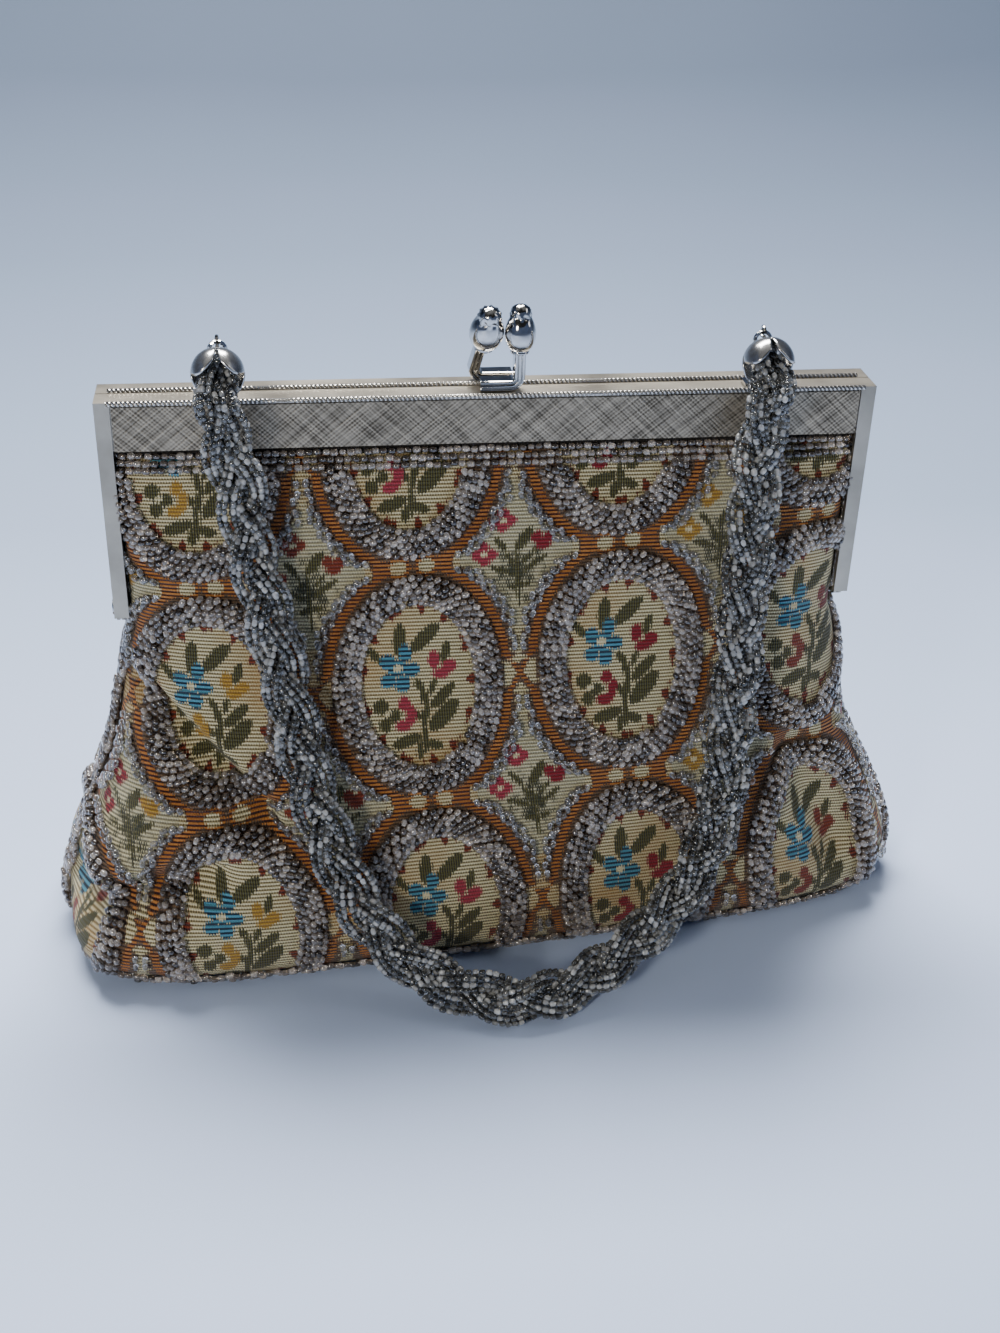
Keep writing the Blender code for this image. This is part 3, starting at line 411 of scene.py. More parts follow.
class Nodes:
    """Short calls that add nodes to the tree of a material or a world."""

    def __init__(self, owner, end):
        owner.use_nodes = True
        self.tree = owner.node_tree
        self.end = self.tree.nodes[end]

    def node(self, kind, inputs=(), **settings):
        made = self.tree.nodes.new("ShaderNode" + kind)
        for key, value in settings.items():
            setattr(made, key, value)
        for key, value in dict(inputs).items():
            self.feed(made.inputs[key], value)
        return made

    def feed(self, socket, value):
        if isinstance(value, bpy.types.NodeSocket):
            self.tree.links.new(value, socket)
        else:
            socket.default_value = value

    def axis(self, letter, vector):
        return self.node("SeparateXYZ", {0: vector}).outputs[letter]

    def math(self, operation, a, b=0.0):
        return self.node("Math", {0: a, 1: b}, operation=operation).outputs[0]

    def add(self, a, b):
        return self.math('ADD', a, b)

    def times(self, a, b):
        return self.math('MULTIPLY', a, b)

    def wave(self, value, pitch, offset=0.0):
        """A sine that makes one turn in each pitch."""
        return self.math('SINE', self.add(self.times(value, FULL_TURN / pitch), offset))

    def step(self, value, edge, soft):
        """0 below the edge, 1 above it, with a soft change."""
        made = self.node("MapRange", {"Value": value, "From Min": edge - soft, "From Max": edge + soft})
        return made.outputs["Result"]

    def spread(self, share, low, high):
        return self.node("MapRange", {"Value": share, "To Min": low, "To Max": high}).outputs["Result"]

    def mix(self, share, a, b):
        made = self.node("Mix", data_type='RGBA')
        for socket, value in zip((made.inputs[0], made.inputs[6], made.inputs[7]), (share, a, b)):
            self.feed(socket, colour(value))
        return made.outputs[2]

    def ramp(self, share, stops, interpolation='LINEAR'):
        made = self.node("ValToRGB", {"Fac": share})
        made.color_ramp.interpolation = interpolation
        while len(made.color_ramp.elements) < len(stops):
            made.color_ramp.elements.new(1)
        for element, (place, tint) in zip(made.color_ramp.elements, stops):
            element.position = place
            element.color = colour(tint)
        return made.outputs["Color"]


class Finish(Nodes):
    """A material and short calls that add its nodes."""

    def __init__(self, name):
        self.material = bpy.data.materials.new(name)
        super().__init__(self.material, "Principled BSDF")

    def place(self):
        return self.node("TexCoord").outputs["Object"]

    def noise(self, scale, detail, vector=None):
        inputs = {"Scale": scale, "Detail": detail, "Vector": vector or self.place()}
        return self.node("TexNoise", inputs).outputs["Fac"]

    def grain(self, scale, detail, size, vector=None):
        """Noise about zero."""
        return self.times(self.math('SUBTRACT', self.noise(scale, detail, vector), 0.5), size)

    def attribute(self, name):
        return self.node("Attribute", attribute_name=name).outputs["Fac"]

    def bump(self, height, depth, strength):
        made = self.node("Bump", {"Height": height, "Distance": depth, "Strength": strength})
        self.feed(self.end.inputs["Normal"], made.outputs["Normal"])

    def set(self, **values):
        for key, value in values.items():
            self.feed(self.end.inputs[key.replace("_", " ")], colour(value))
        return self.material


def plated_metal(name, wear, tones, metallic, rough, grain=None):
    """Plate whose tone and gloss change with wear: the scale and detail of its patches.

    A grain is the scale and the depth of fine bumps.
    """
    made = Finish(name)
    worn = made.noise(*wear)
    if grain:
        scale, depth = grain
        made.bump(made.noise(scale, 2), depth, 0.5)
    base = made.ramp(worn, ((0.3, tones[0]), (0.7, tones[1])))
    return made.set(Base_Color=base, Metallic=metallic, Roughness=made.spread(worn, *rough))


def engraved_metal():
    """Nickel with fine straight lines engraved both ways, some deeper than others."""
    made = Finish("engraved_nickel")
    cuts = []
    for turn in (0.80, -0.88):
        turned = made.node("Mapping", {"Vector": made.place(), "Rotation": (0, turn, 0)}).outputs[0]
        drawn_out = made.node("Mapping", {"Vector": turned, "Scale": (1, 1, 0.05)}).outputs[0]
        line = made.wave(made.axis("X", turned), ENGRAVED_PITCH)
        deeper = made.spread(made.noise(150, 2), 0.1, 1.1)
        cuts.append(made.add(made.times(line, deeper), made.grain(1300, 2, 4.5, drawn_out)))
    height = made.times(made.add(cuts[0], cuts[1]), 0.5)
    base = made.ramp(made.step(height, 0.0, 0.9), ((0.0, (76, 69, 58)), (1.0, (176, 164, 143))))
    made.bump(height, ENGRAVED_DEPTH, 0.7)
    return made.set(Base_Color=base, Metallic=0.7, Roughness=0.38)


def knurled_metal():
    """The bright rim of each half, with fine slanted cuts."""
    made = Finish("knurled_nickel")
    place = made.place()
    slant = made.add(made.axis("X", place), made.times(made.axis("Z", place), 0.8))
    cuts = made.times(made.wave(slant, KNURL_PITCH), made.step(made.noise(60, 2), 0.42, 0.1))
    base = made.ramp(made.step(cuts, 0.1, 0.8), ((0.0, (236, 232, 224)), (1.0, (120, 114, 104))))
    made.bump(cuts, KNURL_DEPTH, 0.9)
    return made.set(Base_Color=base, Metallic=0.75, Roughness=0.25)


def bead_glass(name, stops, clear):
    """Clear glass; each bead has its own tone."""
    made = Finish(name)
    base = made.ramp(made.attribute("tone"), stops)
    return made.set(Base_Color=base, Roughness=0.09, IOR=1.55, Transmission_Weight=clear,
                    Specular_IOR_Level=0.8, Coat_Weight=1.0, Coat_Roughness=0.03)


def plain_cloth(name, low, high, rough):
    """Smooth satin."""
    made = Finish(name)
    base = made.ramp(made.noise(220, 3), ((0.3, low), (0.7, high)))
    made.bump(made.noise(1400, 2), PLAIN_DEPTH, 0.6)
    return made.set(Base_Color=base, Roughness=rough, Sheen_Weight=0.3)


def tapestry():
    """The woven cloth. Its motifs are distances kept on the mesh, cut here along the threads."""
    made = Finish("tapestry")
    uv = made.node("UVMap", uv_map="cloth").outputs[0]
    across = made.times(made.axis("X", uv), CLOTH_SPAN)
    up = made.times(made.axis("Y", uv), CLOTH_SPAN)
    rib = made.wave(up, RIB_PITCH)
    rib_number = made.math('ROUND', made.math('DIVIDE', up, RIB_PITCH))
    thread = made.wave(across, THREAD_PITCH, made.times(rib_number, math.pi))
    grain = made.grain(900, 2, 1.3)
    jag = made.add(made.times(made.wave(across, SAW_PITCH), 0.30), grain)
    torn = made.add(made.add(made.times(made.wave(across, TOOTH_PITCH), 0.34), 0.24), grain)
    # Painted shade: shade is dark in the gaps between ribs and threads and light on the rib tops, and
    # gap_shade is its reverse; the cream, ground, rust, field and petal colours take them as painted shade,
    # as well as the bump
    tall = made.add(made.times(rib, 0.66), made.times(thread, 0.34))
    shade = made.step(tall, 0.0, 0.62)
    gap_shade = made.math('SUBTRACT', 1.0, shade)

    def motif(name, edge=jag):
        return made.step(made.add(made.attribute(name), edge), 0.0, 0.10)

    cream = made.ramp(shade, ((0.0, (84, 70, 36)), (0.4, (194, 177, 124)), (1.0, (244, 232, 188))))
    stain = made.step(made.noise(34, 2), 0.60, 0.12)
    cream = made.mix(made.times(stain, 0.55), cream, (178, 128, 58))
    dash = made.add(thread, made.grain(420, 1, 7))
    dash = made.step(made.add(dash, made.times(made.attribute("mist"), 3.2)), 2.1, 0.5)
    field = made.mix(made.times(gap_shade, 0.8), (226, 215, 172), (74, 67, 38))
    field = made.mix(dash, field, (52, 54, 30))
    under = made.ramp(shade, ((0.0, (56, 40, 28)), (1.0, (118, 92, 66))))
    rust = made.ramp(shade, ((0.0, (58, 20, 10)), (1.0, (142, 60, 24))))
    lines = made.add(made.wave(up, SATIN_PITCH), made.times(grain, 0.5))
    gold = made.ramp(made.step(lines, -0.05, 0.55),
                     ((0.0, (44, 16, 6)), (0.5, (150, 80, 26)), (1.0, (198, 128, 54))))
    darker = made.step(made.noise(40, 2), 0.5, 0.2)
    gold = made.mix(made.times(darker, 0.3), gold, (90, 30, 12))
    hatch = made.step(made.wave(across, HATCH_PITCH), 0.0, 0.9)
    green = made.ramp(hatch, ((0.0, (30, 28, 10)), (1.0, (98, 92, 42))))
    stripes = made.step(made.wave(up, STRIPE_PITCH), 0.0, 0.5)
    blue = made.ramp(stripes, ((0.0, (8, 38, 54)), (1.0, (80, 148, 168))))
    petal = made.ramp(made.attribute("hue"), ((0.0, (196, 150, 52)), (0.25, (180, 54, 68)),
                                             (0.5, (150, 8, 32)), (0.75, (140, 54, 20))), 'CONSTANT')
    petal = made.mix(made.times(gap_shade, 0.62), petal, (56, 16, 14))

    base = made.mix(motif("oval"), under, cream)
    base = made.mix(motif("diamond"), base, field)
    base = made.mix(motif("rim"), base, rust)
    base = made.mix(motif("band"), base, gold)
    base = made.mix(motif("disc"), base, cream)
    base = made.mix(motif("leaf", torn), base, green)
    base = made.mix(motif("blue"), base, blue)
    base = made.mix(motif("petal"), base, petal)
    base = made.mix(motif("heart"), base, (220, 206, 160))
    # Painted shade: a dark strip along the cloth's top, where the frame's plate shades it
    top_shade = made.step(made.axis("Z", made.place()), PANEL_TOP - TOP_SHADE_HEIGHT, TOP_SHADE_BLUR)
    base = made.mix(top_shade, base, (34, 29, 24))
    made.bump(tall, RIB_DEPTH, 1.0)
    return made.set(Base_Color=base, Roughness=0.66, Sheen_Weight=0.10)


def unit(ways):
    return ways / np.linalg.norm(ways, axis=1)[:, None]


def square_to(ways, ups):
    """Ups turned square to their ways."""
    return unit(ups - np.sum(ups * ways, axis=1)[:, None] * ways)


def run_of(points):
    """How far along a line each of its points is."""
    return np.concatenate(([0], np.cumsum(np.linalg.norm(np.diff(points, axis=0), axis=1))))


def along(want, run, points):
    """The points of a line at the runs that are wanted."""
    return np.stack([np.interp(want, run, points[:, k]) for k in range(3)], axis=1)


def smooth_row(height_share):
    """The body's section shares at one height, on a smooth curve through the table."""
    table = SECTION_SHARES
    at = min(max(height_share, table[0][0]), table[-1][0])
    low = max(i for i in range(len(table) - 1) if table[i][0] <= at)
    start, end = table[low], table[low + 1]
    before = table[max(low - 1, 0)]
    after = table[min(low + 2, len(table) - 1)]
    span = end[0] - start[0]
    t = (at - start[0]) / span
    row = []
    for k in (1, 2, 3):
        slope_in = (end[k] - before[k]) / (end[0] - before[0]) * span
        slope_out = (after[k] - start[k]) / (after[0] - start[0]) * span
        if (end[k] - start[k]) * slope_in <= 0:
            slope_in = 0
        if (end[k] - start[k]) * slope_out <= 0:
            slope_out = 0
        row.append((2 * t**3 - 3 * t**2 + 1) * start[k] + (t**3 - 2 * t**2 + t) * slope_in
                   + (3 * t**2 - 2 * t**3) * end[k] + (t**3 - t**2) * slope_out)
    return row


def crease_depth(x, height, inset):
    """How far the front is drawn in where its cloth folds; some folds are sharper on their upper side."""
    depth = np.zeros_like(x)
    for x1, z1, x2, z2, width, deep, upper in CREASE_SHARES:
        start = np.array((x1 * BELLY_WIDTH / 2, z1 * PANEL_TOP))
        line = np.array((x2 * BELLY_WIDTH / 2, z2 * PANEL_TOP)) - start
        offset = np.stack((x - start[0], np.full_like(x, height - start[1])), axis=1)
        share = np.clip(offset @ line / (line @ line), 0, 1)
        above = line[0] * offset[:, 1] - line[1] * offset[:, 0] > 0
        reach = np.where(above, upper, 1.0) * width * PANEL_TOP + inset
        away = np.linalg.norm(offset - share[:, None] * line, axis=1) / reach
        depth = np.maximum(depth, deep * BELLY_DEPTH * np.exp(-away * away))
    return depth


def ring_at(height, side, inset):
    """Evenly spaced points across one side at one height, from left to right, and their run."""
    widen, deepen, squareness = smooth_row(height / PANEL_TOP)
    half_width = MOUTH_HALF + widen * (BELLY_WIDTH / 2 - MOUTH_HALF) - inset
    half_depth = MOUTH_DEPTH + deepen * (BELLY_DEPTH / 2 - MOUTH_DEPTH) - inset
    power = 2 / squareness
    angle = np.pi * (1 - np.linspace(0, 1, 4 * SKIN_COLUMNS + 1))
    x = np.sign(np.cos(angle)) * np.abs(np.cos(angle)) ** power * half_width
    y = side * np.abs(np.sin(angle)) ** power * half_depth
    y[0] = y[-1] = 0
    run = np.concatenate(([0], np.cumsum(np.hypot(np.diff(x), np.diff(y)))))
    want = np.linspace(0, run[-1], SKIN_COLUMNS + 1)
    x, y = np.interp(want, run, x), np.interp(want, run, y)
    if side < 0:
        from_seam = (1 - np.abs(np.linspace(-1, 1, SKIN_COLUMNS + 1))) / SEAM_FADE
        depth = crease_depth(x, height, inset) * np.clip(from_seam, 0, 1)
        way = unit(np.stack((np.gradient(x), np.gradient(y)), axis=1))
        x, y = x - way[:, 1] * depth, y + way[:, 0] * depth
    low, high = TWIST_SHARES
    t = min(max((high - height / PANEL_TOP) / (high - low), 0), 1)
    turn = BASE_TWIST * t * t * (3 - 2 * t)
    points = np.stack((x * math.cos(turn) - y * math.sin(turn), x * math.sin(turn) + y * math.cos(turn),
                       np.full_like(x, height)), axis=1)
    return points, run[-1]


class Skin:
    """One side of the body, read by the distance across from its middle and up from its foot."""

    def __init__(self, side, inset=0.0, low=0.0):
        self.side = side
        self.heights = np.linspace(low, PANEL_TOP + TUCK, SKIN_ROWS)
        rings = [ring_at(height, side, inset) for height in self.heights]
        self.rings = np.array([points for points, run in rings])
        self.girths = np.array([run for points, run in rings])
        self.climb = run_of(self.rings[:, SKIN_COLUMNS // 2])

    def up_at(self, height):
        return float(np.interp(height, self.heights, self.climb))

    def half_girth(self, up):
        return np.interp(up, self.climb, self.girths) / 2

    def at(self, across, up):
        """Points on the skin."""
        row = np.clip(np.interp(up, self.climb, np.arange(SKIN_ROWS)), 0, SKIN_ROWS - 1.001)
        share = np.clip(0.5 + across / (2 * self.half_girth(up)), 0, 1)
        column = np.clip(share * SKIN_COLUMNS, 0, SKIN_COLUMNS - 0.001)
        i, j = row.astype(int), column.astype(int)
        a, b = (row - i)[..., None], (column - j)[..., None]
        return ((1 - a) * (1 - b) * self.rings[i, j] + a * (1 - b) * self.rings[i + 1, j]
                + (1 - a) * b * self.rings[i, j + 1] + a * b * self.rings[i + 1, j + 1])

    def out_at(self, across, up):
        """Directions away from the body."""
        over = self.at(across + SKIN_STEP, up) - self.at(across - SKIN_STEP, up)
        rise = self.at(across, up + SKIN_STEP) - self.at(across, up - SKIN_STEP)
        out = np.cross(over, rise) * -self.side
        return out / np.maximum(np.linalg.norm(out, axis=-1), 1e-12)[..., None]


def leaf(x, y, x1, y1, x2, y2, wide):
    """Distance into a pointed leaf between two tips."""
    dx, dy = x2 - x1, y2 - y1
    t = np.clip(((x - x1) * dx + (y - y1) * dy) / (dx * dx + dy * dy), 0, 1)
    away = np.hypot(x - x1 - t * dx, y - y1 - t * dy)
    return wide * np.sqrt(4 * t * (1 - t)) * 0.92 + 0.08 * wide - away


def blob(x, y, cx, cy, rx, ry):
    """Distance into a round patch."""
    return (1 - np.hypot((x - cx) / rx, (y - cy) / ry)) * min(rx, ry)


def pair(x, y, place, size):
    """Distance into the nearer of two patches, left and right of the middle."""
    return np.maximum(blob(x, y, -place, 0, *size), blob(x, y, place, 0, *size))


def most(shape, x, y, rows):
    """Distance into the nearest of several leaves or patches."""
    return np.max([shape(x, y, *row) for row in rows], axis=0)


def weave_tilt(across, up):
    """How far the rows of the weave have climbed, in millimetres, at a place in millimetres."""
    low, high = TILT_SPAN
    return TILT * across * np.clip((up - low) / (high - low), 0, 1)


def weave_place(column, row, x, y):
    """A place on the skin in metres from an oval of the weave and millimetres from its middle."""
    level = ROW_UP + PITCH_UP * row + y
    up = level
    for k in range(4):
        across = FIRST_COLUMN + PITCH_ACROSS * column + SLANT * (up - ROW_UP) + x
        up = level + weave_tilt(across, up)
    return across * MM, up * MM


def cell_of(across, up):
    """Shares of columns and rows, the place in millimetres from the nearest oval's middle, its column."""
    across, up = across / MM, up / MM
    u = (across - FIRST_COLUMN - SLANT * (up - ROW_UP)) / PITCH_ACROSS
    v = (up - weave_tilt(across, up) - ROW_UP) / PITCH_UP
    column = np.round(u)
    return u, v, (u - column) * PITCH_ACROSS, (v - np.round(v)) * PITCH_UP, column


def band_motif(x, y, beside, edge):
    """Distance into the gold threads: the oval's band, rims, spots and the cross where columns meet."""
    share = np.hypot(x / BAND_OVAL[0], y / BAND_OVAL[1])
    thin = 1 - 0.5 * np.exp(-(x / 10) ** 2)
    satin = BAND_HALF * thin - np.abs(share - 1) * BAND_OVAL[0]
    satin = np.minimum(satin, np.abs(y) - BAND_BREAK)
    slant = np.abs(beside - np.abs(y) * CROSS_SLOPE)
    cross = np.minimum(CROSS_HALF - 0.85 * slant, CROSS_TALL - np.abs(y))
    return np.max([satin, pair(x, edge, PAIR_X, PAIR_RIM), pair(x, edge, SPOT_X, SPOT), cross], axis=0)


def disc_motif(x, y, beside, edge):
    """Distance into the cream threads of the discs, cheeks, lace and tabs between ovals."""
    cheeks = np.min([CHEEK[0] - beside, CHEEK[1] - np.abs(y), beside - np.abs(y) * CROSS_SLOPE - CHEEK_GAP],
                    axis=0)
    lace = np.minimum(LACE[0] - beside, LACE[1] - np.abs(y)) * 0.5 + 0.5 * np.sin(y * 2.2) - 0.3
    lace = np.where(np.abs(y) < LACE_FROM, -1.0, lace)
    far = np.abs(x)
    tabs = np.min([far - TAB[0], TAB[1] - far, TAB_HALF - np.abs(edge)], axis=0)
    tabs = np.where((far > TAB_SPAN[0]) & (far < TAB_SPAN[1]), tabs, -1.0)
    return np.max([pair(x, edge, PAIR_X, PAIR_DISC), cheeks, lace, tabs], axis=0)


def motifs(across, up):
    """Distances in millimetres into each motif of the weave."""
    u, v, x, y, column = cell_of(across, up)
    share = np.hypot(x / OVAL[0], y / OVAL[1])
    turn = np.arctan2(y / OVAL[1], x / OVAL[0])
    notch = np.maximum(0, np.cos(13 * turn + column)) + 0.4 * np.cos(31 * turn) - 0.25
    beside = np.abs(np.abs(x) - PITCH_ACROSS / 2)
    edge = np.abs(y) - PITCH_UP / 2
    dx = (u - np.floor(u) - 0.5) * PITCH_ACROSS
    dy = (v - np.floor(v) - 0.5) * PITCH_UP
    outside = share > 1.1
    leaves = np.maximum(most(leaf, x, y, OVAL_LEAVES), most(blob, x, y, OVAL_BUD_LEAVES))
    spray = most(leaf, dx, dy, DIAMOND_LEAVES) - DIAMOND_THINNING
    between = np.mod(np.floor(u), 4).astype(int)
    sprig_hue = np.where(dx > 4, np.choose(between, (2, 0, 0, 3)), np.choose(between, (1, 0, 2, 3)))
    return {
        "oval": (1.08 - share) * OVAL[0],
        "rim": 1.5 * notch - np.abs((share - 0.97) * 15),
        "diamond": (np.hypot(x / STRING_OVAL[0], y / STRING_OVAL[1]) - 1) * STRING_OVAL[0],
        "band": band_motif(x, y, beside, edge),
        "disc": disc_motif(x, y, beside, edge),
        "mist": np.where(outside, 1 - np.hypot((dx - 0.5) / 8.5, (dy + 4) / 11.0), -1.0),
        "leaf": np.where(outside, spray, leaves),
        "blue": np.where(outside, OUTSIDE, most(blob, x, y, OVAL_PETALS)),
        "petal": np.where(outside, most(blob, dx, dy, DIAMOND_PETALS), most(blob, x, y, OVAL_BUDS)),
        "heart": np.where(outside, most(blob, dx, dy, DIAMOND_HEARTS), most(blob, x, y, OVAL_HEARTS)),
        "hue": (np.where(outside, sprig_hue, np.mod(column + 1, 4)) + 0.5) / 4,
    }


def link(name, data, *materials):
    made = bpy.data.objects.new(name, data)
    for material in materials:
        data.materials.append(material)
    bpy.context.scene.collection.objects.link(made)
    return made


def mesh_from(shape, name, smooth=True):
    data = bpy.data.meshes.new(name)
    shape.to_mesh(data)
    shape.free()
    if smooth:
        data.shade_smooth()
    return data


def thicken(piece, thickness):
    wall = piece.modifiers.new("wall", 'SOLIDIFY')
    wall.thickness = thickness


def follow(piece, side):
    """The front rides on its half; the rear keeps its place, baked into its mesh."""
    if side < 0:
        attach(piece, "front_half")
    else:
        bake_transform(piece)


def dressed(shape, name, material, node, body, smooth=True):
    """Link a piece; where it has a CAD node, it takes that node's place."""
    made = link(name, mesh_from(shape, name, smooth), material)
    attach(made, body)
    if node:
        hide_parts(node)
    return made


def merge_down(shape, dist=0.00001):
    bmesh.ops.remove_doubles(shape, verts=shape.verts, dist=dist)
    bmesh.ops.recalc_face_normals(shape, faces=shape.faces)


def spun(shape, profile, steps, closed=True):
    """Turn radius and height pairs about Z; a closed skin has its open ends filled."""
    corners = [shape.verts.new((radius, 0, height)) for radius, height in profile]
    for ends in zip(corners, corners[1:]):
        shape.edges.new(ends)
    bmesh.ops.spin(shape, geom=shape.verts[:] + shape.edges[:], axis=(0, 0, 1), cent=(0, 0, 0),
                   steps=steps, angle=FULL_TURN, use_merge=True)
    merge_down(shape, 0.000002)
    if closed:
        bmesh.ops.holes_fill(shape, edges=shape.edges, sides=steps)
        bmesh.ops.recalc_face_normals(shape, faces=shape.faces)


def extruded(shape, end, vec):
    """Push one face on by a vector; hand back the new end."""
    grown = bmesh.ops.extrude_face_region(shape, geom=end)["geom"]
    fresh = [item for item in grown if isinstance(item, bmesh.types.BMVert)]
    bmesh.ops.translate(shape, verts=fresh, vec=vec)
    return grown


def cloth_grid(columns, rows):
    """A flat grid of cloth from -0.5 to 0.5, its layer of coordinates and its points."""
    shape = bmesh.new()
    layer = shape.loops.layers.uv.new("cloth")
    bmesh.ops.create_grid(shape, x_segments=columns, y_segments=rows, size=0.5, calc_uvs=True)
    return shape, layer, np.array([vertex.co for vertex in shape.verts])


def lay_cloth(shape, layer, places, across, up):
    """Move the grid's points and give each corner the cloth's own coordinates."""
    for vertex, place in zip(shape.verts, places):
        vertex.co = place
    shape.verts.index_update()
    for face in shape.faces:
        for loop in face.loops:
            k = loop.vert.index
            loop[layer].uv = (across[k] / MM / CLOTH_SPAN + 0.5, up[k] / MM / CLOTH_SPAN)


def turn_hem(shape, hem):
    """Turn the cloth's rim inward."""
    rim = [edge for edge in shape.edges if edge.is_boundary]
    inward = {vertex: -hem * vertex.normal for edge in rim for vertex in edge.verts}
    for vertex in bmesh.ops.extrude_edge_only(shape, edges=rim)["geom"]:
        if isinstance(vertex, bmesh.types.BMVert):
            others = [edge.other_vert(vertex) for edge in vertex.link_edges]
            source = next(other for other in others if other in inward)
            vertex.co = vertex.co + inward[source]


def sheet_on(skin, name, low, high, step, hem=0.0, share=1.0):
    """A fine grid laid on the skin between two heights, with the cloth's own coordinates."""
    foot, head = skin.up_at(low), skin.up_at(high)
    wide = share * float(skin.girths.max())
    shape, layer, grid = cloth_grid(max(int(wide / step), 8), max(int((head - foot) / step), 4))
    up = foot + (grid[:, 1] + 0.5) * (head - foot)
    across = grid[:, 0] * 2 * share * skin.half_girth(up)
    lay_cloth(shape, layer, skin.at(across, up), across, up)
    if skin.side > 0:
        bmesh.ops.reverse_faces(shape, faces=shape.faces)
    shape.normal_update()
    if hem:
        turn_hem(shape, hem)
    return mesh_from(shape, name), across, up


def keep_motifs(data, across, up):
    """Store the pattern's distances on the cloth's points; a hem has no pattern."""
    count = len(data.vertices)
    for name, values in motifs(across, up).items():
        layer = data.attributes.new(name, 'FLOAT', 'POINT')
        padded = np.concatenate((values, np.full(count - len(values), OUTSIDE)))
        layer.data.foreach_set("value", padded.astype(np.float32))


def bead_template(radius, length):
    """One short bead along Z: its points and its faces."""
    shape = bmesh.new()
    spun(shape, [(radius * out, length * up) for out, up in BEAD_PROFILE_SHARES], BEAD_SIDES)
    shape.verts.index_update()
    points = np.array([vertex.co for vertex in shape.verts])
    faces = [[vertex.index for vertex in face.verts] for face in shape.faces]
    shape.free()
    return points, faces


class Strings:
    """Beads gathered for one piece: a place, a direction through the hole and a way up for each."""

    def __init__(self, seed):
        self.random = np.random.default_rng(seed)
        self.places, self.ways, self.ups = [], [], []

    def add(self, places, ways, ups, shake, tilt):
        self.places.append(places + self.random.normal(0, 1, places.shape) * shake)
        self.ways.append(unit(ways) + self.random.normal(0, 1, ways.shape) * tilt)
        self.ups.append(ups)

    def piece(self, name, size, material):
        """Every bead as one mesh, each with a tone of its own."""
        places, ways, ups = (np.concatenate(rows) for rows in (self.places, self.ways, self.ups))
        ways = unit(ways)
        sides = unit(np.cross(ups, ways))
        ups = np.cross(ways, sides)
        points, faces = bead_template(*size)
        count = len(places)
        grow = self.random.normal(1, BEAD_VARIATION, (count, 1, 1))
        laid = (points[None, :, :1] * sides[:, None] + points[None, :, 1:2] * ups[:, None]
                + points[None, :, 2:] * ways[:, None])
        spots = places[:, None] + grow * laid
        data = bpy.data.meshes.new(name)
        polygons = [[corner + k * len(points) for corner in face] for k in range(count) for face in faces]
        data.from_pydata(spots.reshape(-1, 3), [], polygons)
        tone = data.attributes.new("tone", 'FLOAT', 'POINT')
        tones = np.repeat(self.random.random(count), len(points))
        tone.data.foreach_set("value", tones.astype(np.float32))
        data.shade_smooth()
        piece = link(name, data, material)
        return piece


def string_on(skin, strings, across, up, lay):
    """Thread beads at an even pitch along a line on the skin."""
    lift, pitch, shake, tilt = lay
    places = skin.at(across, up) + skin.out_at(across, up) * lift
    run = run_of(places)
    count = max(int(run[-1] / pitch), 1)
    want = (np.arange(count) + 0.5) * run[-1] / count
    out = skin.out_at(np.interp(want, run, across), np.interp(want, run, up))
    ways = along(want + pitch / 4, run, places) - along(want - pitch / 4, run, places)
    strings.add(along(want, run, places), ways, out, shake, tilt)


def on_cloth(skin, across, up, low, high, edge):
    """Which places lie between two heights and clear of the seams."""
    clear = np.abs(across) < skin.half_girth(up) - edge
    return clear & (up > skin.up_at(low)) & (up < skin.up_at(high))


def ring_angles():
    """Angles round an oval that are evenly spaced along the middle of its ring."""
    turn = np.linspace(0, FULL_TURN, RING_SAMPLES)
    x = np.cos(turn) * (OVAL[0] + RING_OUTER[0]) / 2
    y = np.sin(turn) * (OVAL[1] + RING_OUTER[1]) / 2
    run = np.concatenate(([0], np.cumsum(np.hypot(np.diff(x), np.diff(y)))))
    return np.interp(np.arange(RING_ROWS) * run[-1] / RING_ROWS, run, turn)


def ring_beads(skin, strings, low, high):
    """Slanted rows of beads, each a little arch, round every oval of the weave between two heights."""
    shares = (np.arange(RING_ROW_BEADS) + 0.5) / RING_ROW_BEADS
    arch = RING_LIFT * np.sin(math.pi * shares)
    starts = ring_angles()
    for column, row in OVALS:
        for start in starts:
            angle = start + strings.random.normal(0, RING_STRAY) + RING_SLANT * (shares - 0.5)
            x = np.cos(angle) * (OVAL[0] + shares * (RING_OUTER[0] - OVAL[0]))
            y = np.sin(angle) * (OVAL[1] + shares * (RING_OUTER[1] - OVAL[1]))
            across, up = weave_place(column, row, x, y)
            keep = on_cloth(skin, across, up, low, high, RING_EDGE)
            if keep.sum() < 2:
                continue
            across, up = across[keep], up[keep]
            out = skin.out_at(across, up)
            places = skin.at(across, up) + out * (SEWN_BEAD[0] + arch[keep])[:, None]
            strings.add(places, np.gradient(places, axis=0), out, RING_SHAKE, RING_TILT)


